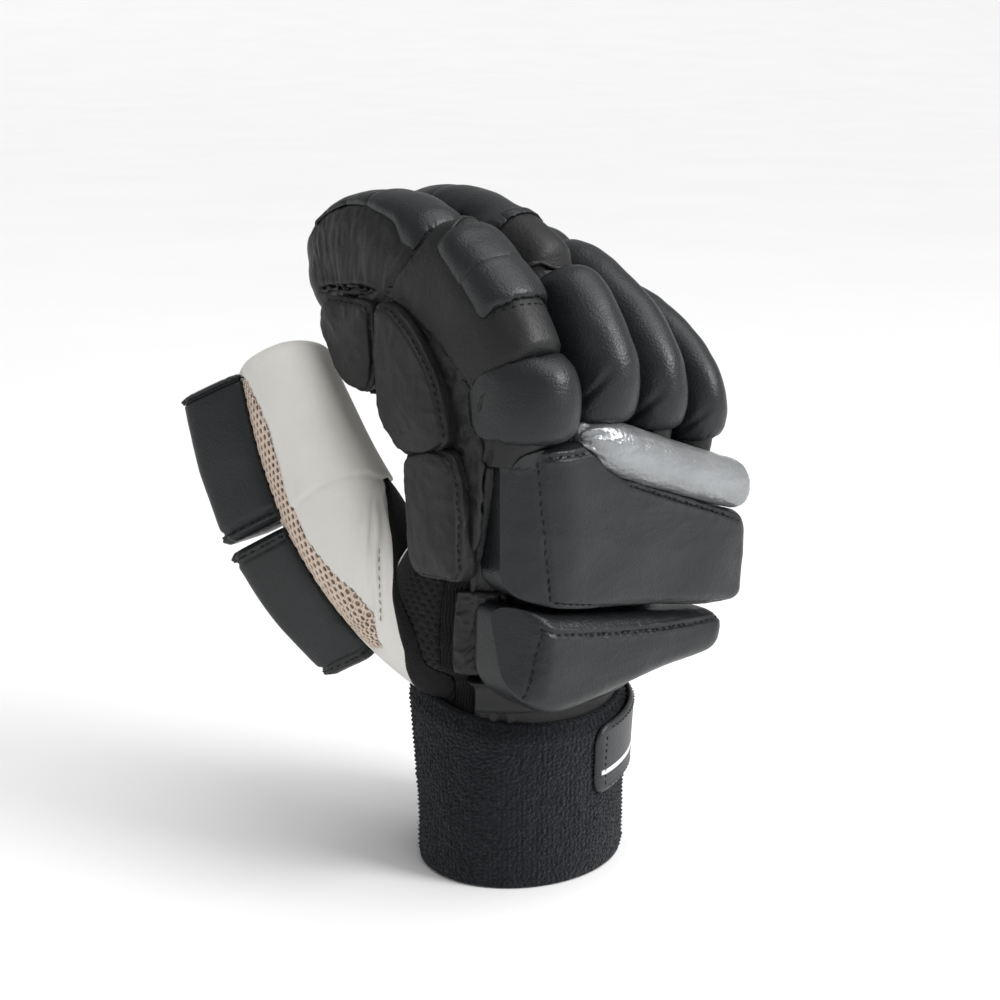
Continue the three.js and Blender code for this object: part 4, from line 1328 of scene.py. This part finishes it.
def makeGuard(name):
    columns = 128
    # denser where the outline turns its corners
    turns = np.linspace(0, 360, columns, endpoint=False)
    turns = turns + 9.5 * np.sin(np.radians(turns * 4))
    rings = []
    for t in softEnds(76, 0.8):
        ring = guardPoint(name, np.full(columns, t), turns)
        out = unit(guardPoint(name, np.full(columns, t), turns, 1.0) - ring)
        nearEnd = bell(t, 0, 0.07) + bell(t, 1, 0.07)
        spots = np.stack([turns / 4.2, np.full(columns, t * 3), np.zeros(columns)], 1)
        pleats = roughness(spots, 5) * nearEnd * 0.75
        slack = roughness(ring / 17, 6) * 0.55 + roughness(ring / 5, 8) * 0.12
        # a rolled lip at both ends, and the furrow of its seam
        fromEnd = min(t, 1 - t)
        lip = 0.9 * (bell(fromEnd, 0.035, 0.014) - bell(fromEnd, 0.075, 0.016))
        rings.append(ring + out * (pleats + slack + lip)[:, None])
    return makeMesh(f"thumbGuard{name.capitalize()}", *loft(np.array(rings)))


# Flap, wrist pad and strap

sideFlap = {"from": 198, "to": 225, "low": 0.315, "high": 0.62, "thickness": 2.2}
wristPad = {"from": 206, "to": 334, "low": 0.1, "high": 0.3, "thickness": 6.6}
strap = {
    "from": -85, "to": 39, "low": 30.5, "high": 57, "air": 0.6, "thickness": 2, "slant": 8, "corner": 5.5,
}
strapTop = strap["air"] + strap["thickness"]


def makeOverlay(name, overlay, rows, columns, relief=None, rounding=5.0):
    # a pad or flap that lies on the hand, its rim rounded over a few rows
    angles = np.linspace(overlay["from"], overlay["to"], columns)
    outer, inner = [], []
    for k, share in enumerate(np.linspace(overlay["low"], overlay["high"], rows)):
        edge = np.minimum(np.minimum(np.arange(columns), np.arange(columns)[::-1]), min(k, rows - 1 - k))
        rise = np.sqrt(np.clip(1 - (1 - np.clip(edge / rounding, 0.02, 1)) ** 2, 0, 1)) * overlay["thickness"]
        if relief is not None:
            rise = rise + relief(share, angles) * np.clip(edge / rounding, 0, 1)
        full = np.full(columns, share)
        base = handPoint(full, angles, seamAir)
        out = unit(handPoint(full, angles, seamAir + 1) - base)
        outer.append(base + out * np.maximum(rise, 0.1)[:, None])
        inner.append(base)
    return makeMesh(name, *plate(np.array(outer), np.array(inner)))


def flapFolds(share, angles):
    spots = np.stack([np.full_like(angles, share * 26), angles * 0.14, np.zeros_like(angles)], 1)
    broad = np.stack([np.full_like(angles, share * 8), angles * 0.05, np.ones_like(angles)], 1)
    return np.clip(creases(spots, 12), -0.5, 1) * 0.7 + roughness(broad, 13) * 1.7


def strapPoint(share, degrees, lift=0.0):
    # share runs up the strap and degrees round the wrist; the free end's corners are cut round
    degrees = np.asarray(degrees, float)
    fromEnd = (degrees - strap["from"]) * 0.68
    round_ = 1 - np.sqrt(np.clip(1 - (1 - fromEnd / strap["corner"]) ** 2, 0, 1))
    pinch = np.where(fromEnd < strap["corner"], round_, 0)
    share = 0.5 + (np.asarray(share, float) - 0.5) * (1 - 0.42 * pinch)
    slant = strap["slant"] * (degrees - strap["from"]) / (strap["to"] - strap["from"])
    return cuffPoint(mix(strap["low"], strap["high"], share) + slant, degrees, lift)


def strapSheet(low, high, start, end, lift, rows, columns):
    angles = np.linspace(start, end, columns)
    return np.array([strapPoint(np.full(columns, t), angles, lift) for t in np.linspace(low, high, rows)])


def makeStrap():
    rows, columns = 34, 110
    outer, base = (
        strapSheet(0, 1, strap["from"], strap["to"], lift, rows, columns) for lift in (strapTop, strap["air"])
    )
    across = np.minimum(np.arange(rows), np.arange(rows)[::-1])[:, None]
    along = np.minimum(np.arange(columns), np.arange(columns)[::-1])[None]
    edge = np.clip(np.minimum(across, along) / 3, 0, 1) ** 0.5
    # moulded ribs below the stripe and a raised border
    shares = np.linspace(0, 1, rows)[:, None]
    ribbed = 0.22 * np.cos(shares * 78) * easeStep(0.04, 0.08, shares) * easeStep(0.27, 0.24, shares)
    outer = mix(base, outer, (0.35 + 0.65 * edge + ribbed / strap["thickness"])[..., None])
    return makeMesh("strapLabel", *plate(outer, base))


# Putting the glove together

def cuffForm(gap):
    angles = np.linspace(0, 360, 96, endpoint=False)
    top = cuffTop(angles) + gap
    rings = np.array([cuffPoint(share * top, angles, gap) for share in np.linspace(0, 1, 8)])
    return makeMesh("cuffForm", *loft(rings))


cuffAir = cuffForm(seamAir)
handForm = handSolid(seamAir)
handTree = treeOf(handForm)
thumbInside = thumbHollow(-thumb["wall"])

finishPiece(makeWristband(), terryKnit, "terry_knit", ["wristband"])
placeShapes("wristbandYarnEnds", makeYarnEnds(), terryKnit, "terry_knit")

finishPiece(makeStrap(), strapRubber, "strap_label", ["wrist_strap"])
labelSkin = lambda share, degrees, lift: strapPoint(share, degrees, lift + strapTop)
stripe = [
    strapSheet(0.29, 0.36, strap["from"] + 3, strap["to"] - 3, strapTop + lift, 4, 120)
    for lift in (0.12, -0.2)
]
finishPiece(makeMesh("strapStripe", *plate(*stripe)), stripePaint, "strap_label")
labelEdge = []
# share up the strap and degrees round the wrist
labelSeams = (
    [(0.08, -76), (0.08, 36)], [(0.93, -76), (0.93, 36)], [(0.1, -78.6), (0.5, -79.2), (0.9, -78.6)],
)
for corners in labelSeams:
    labelEdge += sewThread(skinPath(labelSkin, corners), 2.4, 1.7, 0.2, 0.12, seed=3)
placeShapes("strapStitches", labelEdge, blackThread, "strap_label")
print("wristband and strap made")

for name, columns, rows, relief, material, slot in (
    ("palm", 76, 56, None, whiteLeather, "white_leather"),
    ("mesh_gusset", 72, 156, eyelets, flatKnit, "black_knit"),
    ("elastic_panel", 56, 100, ribs, flatKnit, "black_knit"),
    ("hand_back", 120, 110, backCreases, sideLeather, "side_leather"),
):
    panel = makePanel(name, columns, rows, relief)
    if name in ("palm", "mesh_gusset"):
        carve(panel, thumbInside)
    finishPiece(panel, material, slot, [name])

flap = makeOverlay("sideFlapLeather", sideFlap, 84, 52, flapFolds)
pad = makeOverlay("wristPadLeather", wristPad, 34, 130)
blackSeams, blackCords, tornEdges = [], [], []
flapSkin = lambda share, degrees, lift: handPoint(share, degrees, lift + sideFlap["thickness"])
besideBlock = skinPath(handPoint, [
    (0.947, 216), (0.89, 217), (0.779, 220), (0.584, 227), (0.444, 231), (0.2, 223),
])
blackCords.append(layCord(besideBlock, 1.0, 0.9, 4, 0.5))
blackSeams += sewThread(raised(besideBlock, 0.5), 3.2, 2.2, 0.24, 0.3, aside=-2.2, wander=0.3, seed=8)
tornEdges.append(rawEdge(raised(besideBlock, 1.1), -sideOf(besideBlock), 0.4, 2.2, 0.7, 5))
flapEdge = skinPath(flapSkin, [(0.33, 199.4), (0.42, 198.6), (0.52, 199.4), (0.61, 198.8)])
tornEdges.append(rawEdge(raised(flapEdge, -1.2), sideOf(flapEdge), 0.2, 0.8, 0.9, 6))
finishPiece(flap, sideLeather, "side_leather", ["side_flap"])
finishPiece(pad, sideLeather, "side_leather", ["wrist_pad"])
print("hand made")

sleeves = {
    name: makeSleeve(name, *size) for name, size in (
        ("index", (136, 148, indexRelief)), ("middle", (84, 84, plainRelief)),
        ("ring", (78, 84, plainRelief)), ("little", (78, 80, plainRelief)),
    )
}
indexSkin = lambda share, degrees, lift: sleevePoint("index", share, degrees, lift)
indexSeams = {
    "palm": [
        (1, -13), (0.835, -18), (0.697, -16), (0.612, -15), (0.519, -13), (0.414, -7), (0.303, -3),
        (0.193, 9), (0.12, 30),
    ],
    "fold": [(0.604, -10), (0.571, 17), (0.549, 56), (0.549, 93), (0.55, 130), (0.57, 165)],
}
pressSeam(sleeves["index"], skinPath(indexSkin, indexSeams["palm"]), 1.6, 1.1, 0.5, 0.35)
pressSeam(sleeves["index"], skinPath(indexSkin, indexSeams["fold"]), 1.3, 1.2, 0.45, 0.3)
sleeveTrees = {name: treeOf(piece) for name, piece in sleeves.items()}
palmSeam = settle(skinPath(indexSkin, indexSeams["palm"]), sleeveTrees["index"])
blackCords.append(layCord(palmSeam, 0.7, 0.15, 3, 0.3))

palmwards, upwards = (0, 1, 0), (0, 0, 1)
bar = makeBar()
keepClear(bar, [handTree, *sleeveTrees.values()], palmwards)
barTree = treeOf(bar)
mainBlock, lowBlock = makeBlock("backBlockPad", backBlock), makeBlock("wristBlockPad", wristBlock)
keepClear(mainBlock, [handTree, sleeveTrees["index"], sleeveTrees["middle"]], palmwards)
keepClear(mainBlock, [barTree], upwards)
keepClear(lowBlock, [handTree], palmwards)
keepClear(lowBlock, [treeOf(mainBlock)], upwards)
# X and Z of the seams sewn across the blocks' faces
blockSeams = {
    "backBlockPad": (
        [(-38.6, 164.9), (-37.6, 151.6), (-36.2, 131.3), (-34.3, 115.3)],
        [(-37, 164.6), (-24, 164.8), (-11, 164.2)],
        [(-5.4, 160), (-1.6, 151), (1.7, 150), (22.4, 142), (42.7, 134.4), (55.8, 128.6)],
        [(-34.3, 115.3), (-14.5, 111), (13.9, 105.7), (50.4, 100.2)],
    ),
    "wristBlockPad": (
        [(-38.5, 107.6), (-27, 103.5), (9.8, 97.5), (50.7, 93.8)],
        [(-36.8, 107), (-38.5, 101), (-40.8, 92), (-43.2, 81)],
    ),
}
for block in (mainBlock, lowBlock):
    spots = readPoints(block)
    slack = roughness(spots / 24, 3) * 0.7 + roughness(spots * [0.05, 0.1, 0.13], 5) * 0.35
    face = easeStep(-40, -50, spots[:, 1])
    wrinkle = np.clip(creases(spots * [0.1, 0.22, 0.22], 8), 0, 1) * 0.09
    swell(block, (slack + wrinkle) * face)
    for line in blockSeams[block.name]:
        flat = smoothLine(line)
        path = castPath(treeOf(block), stack(flat[:, 0], -60, flat[:, 1]), palmwards)
        pressSeam(block, path, 0.75, 0.8, 0.28, 0.26)
        path = settle(path, treeOf(block))
        blackSeams += sewThread(path, 3.4, 2.3, 0.26, 0.2, wander=0.1, seed=len(blackSeams) + 1)
blockTree = treeOf(mainBlock)

# shallow creases where the long middle pads bend: their ends as shares of the pad
downwards = (0, 0.3, -1)
rollCreases = {"middle": (0.05, 0.3), "ring": (0.03, 0.15), "little": (0.02, 0.12)}
for name, rows in rolls.items():
    for row in rows:
        long_ = row[1] - row[0] > 0.24
        roll = makeRoll(name, row, 60 if long_ else 36, 48)
        spots = readPoints(roll)
        slack = roughness(spots / 11, 4) * 0.42 + roughness(spots / [30, 5, 5], 6) * 0.16
        ends = bell(np.abs(np.linspace(-1, 1, len(spots))), 1, 0.25)
        pleats = np.clip(creases(spots * [0.42, 0.1, 0.1], 5), -0.3, 1) * 0.5 * ends
        swell(roll, slack + pleats)
        if long_ and name in rollCreases:
            along, round_ = np.linspace(*rollCreases[name], 40), np.linspace(6, 74, 40)
            line = [rollPoint(name, row, along, round_, lift)[0] for lift in (0, 1)]
            pressSeam(roll, evenPath(line[0], unit(line[1] - line[0])), 0.8, 0.9, 0.15, 0.2, fade=6)
        if row[-1][0] <= 2:
            keepClear(roll, [barTree, blockTree], downwards)
        finishPiece(roll, paddedLeather, "black_leather", [f"{name}_roll_{k}" for k in row[-1]])
# seams and rolled edges on the sleeves: share along the finger and degrees round it
sleeveSeams = (
    ("index", [(0.607, 47), (0.598, 64), (0.593, 82), (0.593, 113), (0.6, 133)]),
    ("index", [(0.356, 45), (0.348, 76), (0.346, 117), (0.35, 135)]),
    ("index", [(0.342, 45), (0.334, 76), (0.332, 117), (0.336, 135)]),
    ("middle", [(0.599, 66), (0.617, 101), (0.6, 130)]),
)
indexPiping = (
    ([
        (0.536, 120), (0.536, 99), (0.524, 83), (0.501, 56), (0.476, 47), (0.441, 42), (0.396, 42),
        (0.353, 44),
    ], 0.8),
    ([(0.16, 12), (0.206, 22), (0.231, 56), (0.241, 91), (0.231, 128), (0.2, 160)], 1.0),
    ([(1, 58), (0.93, 62), (0.85, 74), (0.753, 72), (0.677, 54), (0.607, 47)], 0.55),
)
middlePiping = [(0.454, 28), (0.444, 64), (0.431, 93), (0.44, 130)]


def onSleeve(name, line):
    skin = lambda share, degrees, lift: sleevePoint(name, share, degrees, lift)
    return settle(skinPath(skin, line), sleeveTrees[name])


for name, line in sleeveSeams:
    blackSeams += sewThread(onSleeve(name, line), 2.8, 1.9, 0.24, 0.22, wander=0.15, seed=len(blackSeams))
for line, radius in indexPiping:
    blackCords.append(layCord(onSleeve("index", line), radius, radius * 0.5, len(line), 0.25))
blackCords.append(layCord(onSleeve("middle", middlePiping), 0.9, 0.5, 7, 0.2))
print("fingers and blocks made")

finishPiece(makeWeb(), sideLeather, "side_leather")

for name in ("tip", "middle", "base"):
    wing, loop = makeWing(name)
    keepClear(wing, [sleeveTrees["index"], handTree], (1, 0, 0))
    spots = readPoints(wing)
    swell(wing, roughness(spots / 12, 7) * 0.5 + np.clip(creases(spots * 0.14, 9), -0.3, 1) * 0.25)
    wingTree = treeOf(wing)
    # the seam round the pad, and the torn edge of the leather beyond it
    inner = np.array(wingPlace(wings["centres"][name]))
    seam = inner + (loop - inner) * 0.95
    count = len(loop)
    low, high = (int(count * share) for share in wings["raw"][name])
    start = stack(np.full(count, wingMiddle - 30), seam[:, 0], seam[:, 1])
    path = castPath(wingTree, start, (1, 0, 0))
    pressSeam(wing, path, 0.55, 0.7, 0.3, 0.25, fade=0)
    blackSeams += sewThread(settle(path, treeOf(wing)), 2.9, 2.0, 0.22, 0.1, wander=0.2, seed=20 + count)
    edge = stack(np.full(high - low, wingMiddle + 1.2), loop[low:high, 0], loop[low:high, 1])
    outward = unit(np.concatenate([np.zeros((high - low, 1)), loop[low:high] - inner], axis=1))
    rim, facing = evenPath(edge, outward)
    strip = rim - facing * 0.6, np.tile([-1.0, 0, 0], (len(rim), 1))
    tornEdges.append(rawEdge(strip, facing, 0.4, 2.2, 0.9, 9))
    finishPiece(wing, sideLeather, "side_leather", [f"index_wing_{name}"])
for name, sleeve in sleeves.items():
    finishPiece(sleeve, sideLeather, "side_leather", [f"{name}_sleeve"])
finishPiece(bar, silverLeather, "silver_leather", ["knuckle_bar"])
finishPiece(mainBlock, paddedLeather, "black_leather", ["back_block"])
finishPiece(lowBlock, paddedLeather, "black_leather", ["wrist_block"])
print("wings made")

thumbPiece = makeThumb()
sewnSeam = [(0.429, 50), (0.338, 25), (0.268, 4)]
pressSeam(thumbPiece, skinPath(thumbPoint, crossSeam), 0.7, 0.8)
for line in (sewnSeam, [(0.536, 69), (0.449, 44), (0.348, 18), (0.241, -11)]):
    pressSeam(thumbPiece, skinPath(thumbPoint, line), 0.8, 0.9, 0.35, 0.1)
thumbTree = treeOf(thumbPiece)
netSide = [(share, right + 2.4) for share, _, right in net["edges"][1:]]
thumbThread = sewThread(settle(skinPath(thumbPoint, sewnSeam), thumbTree), 3.5, 2.2, 0.2, 0.1, seed=2)
thumbThread += sewThread(settle(skinPath(thumbPoint, netSide), thumbTree), 2.6, 1.7, 0.2, 0.06, seed=4)
for name in ("base", "tip"):
    guard = makeGuard(name)
    keepClear(guard, [thumbTree, handTree], thumbSection(np.mean(guards[name]))["front"])
    finishPiece(guard, paddedLeather, "black_leather", [f"thumb_guard_{name}"])
    turns = np.linspace(0, 360, 200)
    for t in (0.055, 0.945):
        line, lifted = (guardPoint(name, t, turns, lift) for lift in (0.35, 1.35))
        path = evenPath(line, unit(lifted - line))
        blackSeams += sewThread(path, 3.0, 2.0, 0.22, 0.1, wander=0.15, seed=31)
carve(thumbPiece, thumbInside, handForm, cuffAir)
finishPiece(thumbPiece, whiteLeather, "white_leather", ["thumb_sleeve"])
rootKnit = makeRootKnit()
carve(rootKnit, handForm, cuffAir)
finishPiece(rootKnit, flatKnit, "black_knit")
finishPiece(makeNet(), netKnit, "thumb_net", ["thumb_mesh"])
finishPiece(makeLining(), netLining, "thumb_net")
placeShapes("thumbStitches", thumbThread, paleThread, "white_leather")
placeShapes("leatherStitches", blackSeams, blackThread, "black_leather")
placeShapes("leatherPiping", blackCords, sideLeather, "side_leather")
placeShapes("tornEdges", tornEdges, rawLeather, "side_leather")
for helper in (handForm, cuffAir, thumbInside):
    bpy.data.objects.remove(helper)
print("thumb made")

# Floor, light and camera

shot = {"azimuth": -40, "elevation": 14, "distance": 0.65, "lens": 65, "aim": (0.01004, -0.00708, 0.1346)}


def addLight(name, kind, place, aim, power):
    # place and aim in metres; a sun shines the same way from anywhere
    light = bpy.data.lights.new(name, kind)
    light.energy = power
    lamp = bpy.data.objects.new(name, light)
    scene.collection.objects.link(lamp)
    lamp.location = place
    lamp.rotation_euler = (Vector(place) - Vector(aim)).to_track_quat("Z", "Y").to_euler()
    return light


# a wide floor whose far rim rises gently, so that no edge shows behind the glove
# radius and rise in metres
floorRows = ((0.5, 0), (3, 0), (8, 0), (12, 0.15), (16, 0.7), (20, 2.0), (22, 3.4))
floorTurns = np.linspace(0, 360, 96, endpoint=False)
floorRings = np.array([stack(*ovalPoint(radius, radius, floorTurns), rise) for radius, rise in floorRows])
floor = makeMesh("floor", *loft(floorRings, True, False))
floor.data.materials.append(studioFloor)

addLight("softSky", "SUN", (0.25, -0.35, 1.0), (0, 0, 0), 2.1).angle = math.radians(60)
window = addLight("window", "AREA", (0.45, -0.95, 0.8), (0, 0, 0.12), 11)
window.shape, window.size = "SQUARE", 0.4
world = bpy.data.worlds.new("room")
scene.world = world
world.use_nodes = True
world.node_tree.nodes["Background"].inputs["Color"].default_value = fromHex("#ffffff")
world.node_tree.nodes["Background"].inputs["Strength"].default_value = 0.42
scene.view_settings.view_transform = "Standard"

turn, rise = math.radians(shot["azimuth"]), math.radians(shot["elevation"])
back = Vector((math.sin(turn) * math.cos(rise), -math.cos(turn) * math.cos(rise), math.sin(rise)))
camera = bpy.data.objects.new("camera", bpy.data.cameras.new("camera"))
camera.data.lens = shot["lens"]
camera.data.sensor_width = 36
camera.location = Vector(shot["aim"]) + back * shot["distance"]
camera.rotation_euler = back.to_track_quat("Z", "Y").to_euler()
scene.collection.objects.link(camera)
scene.camera = camera
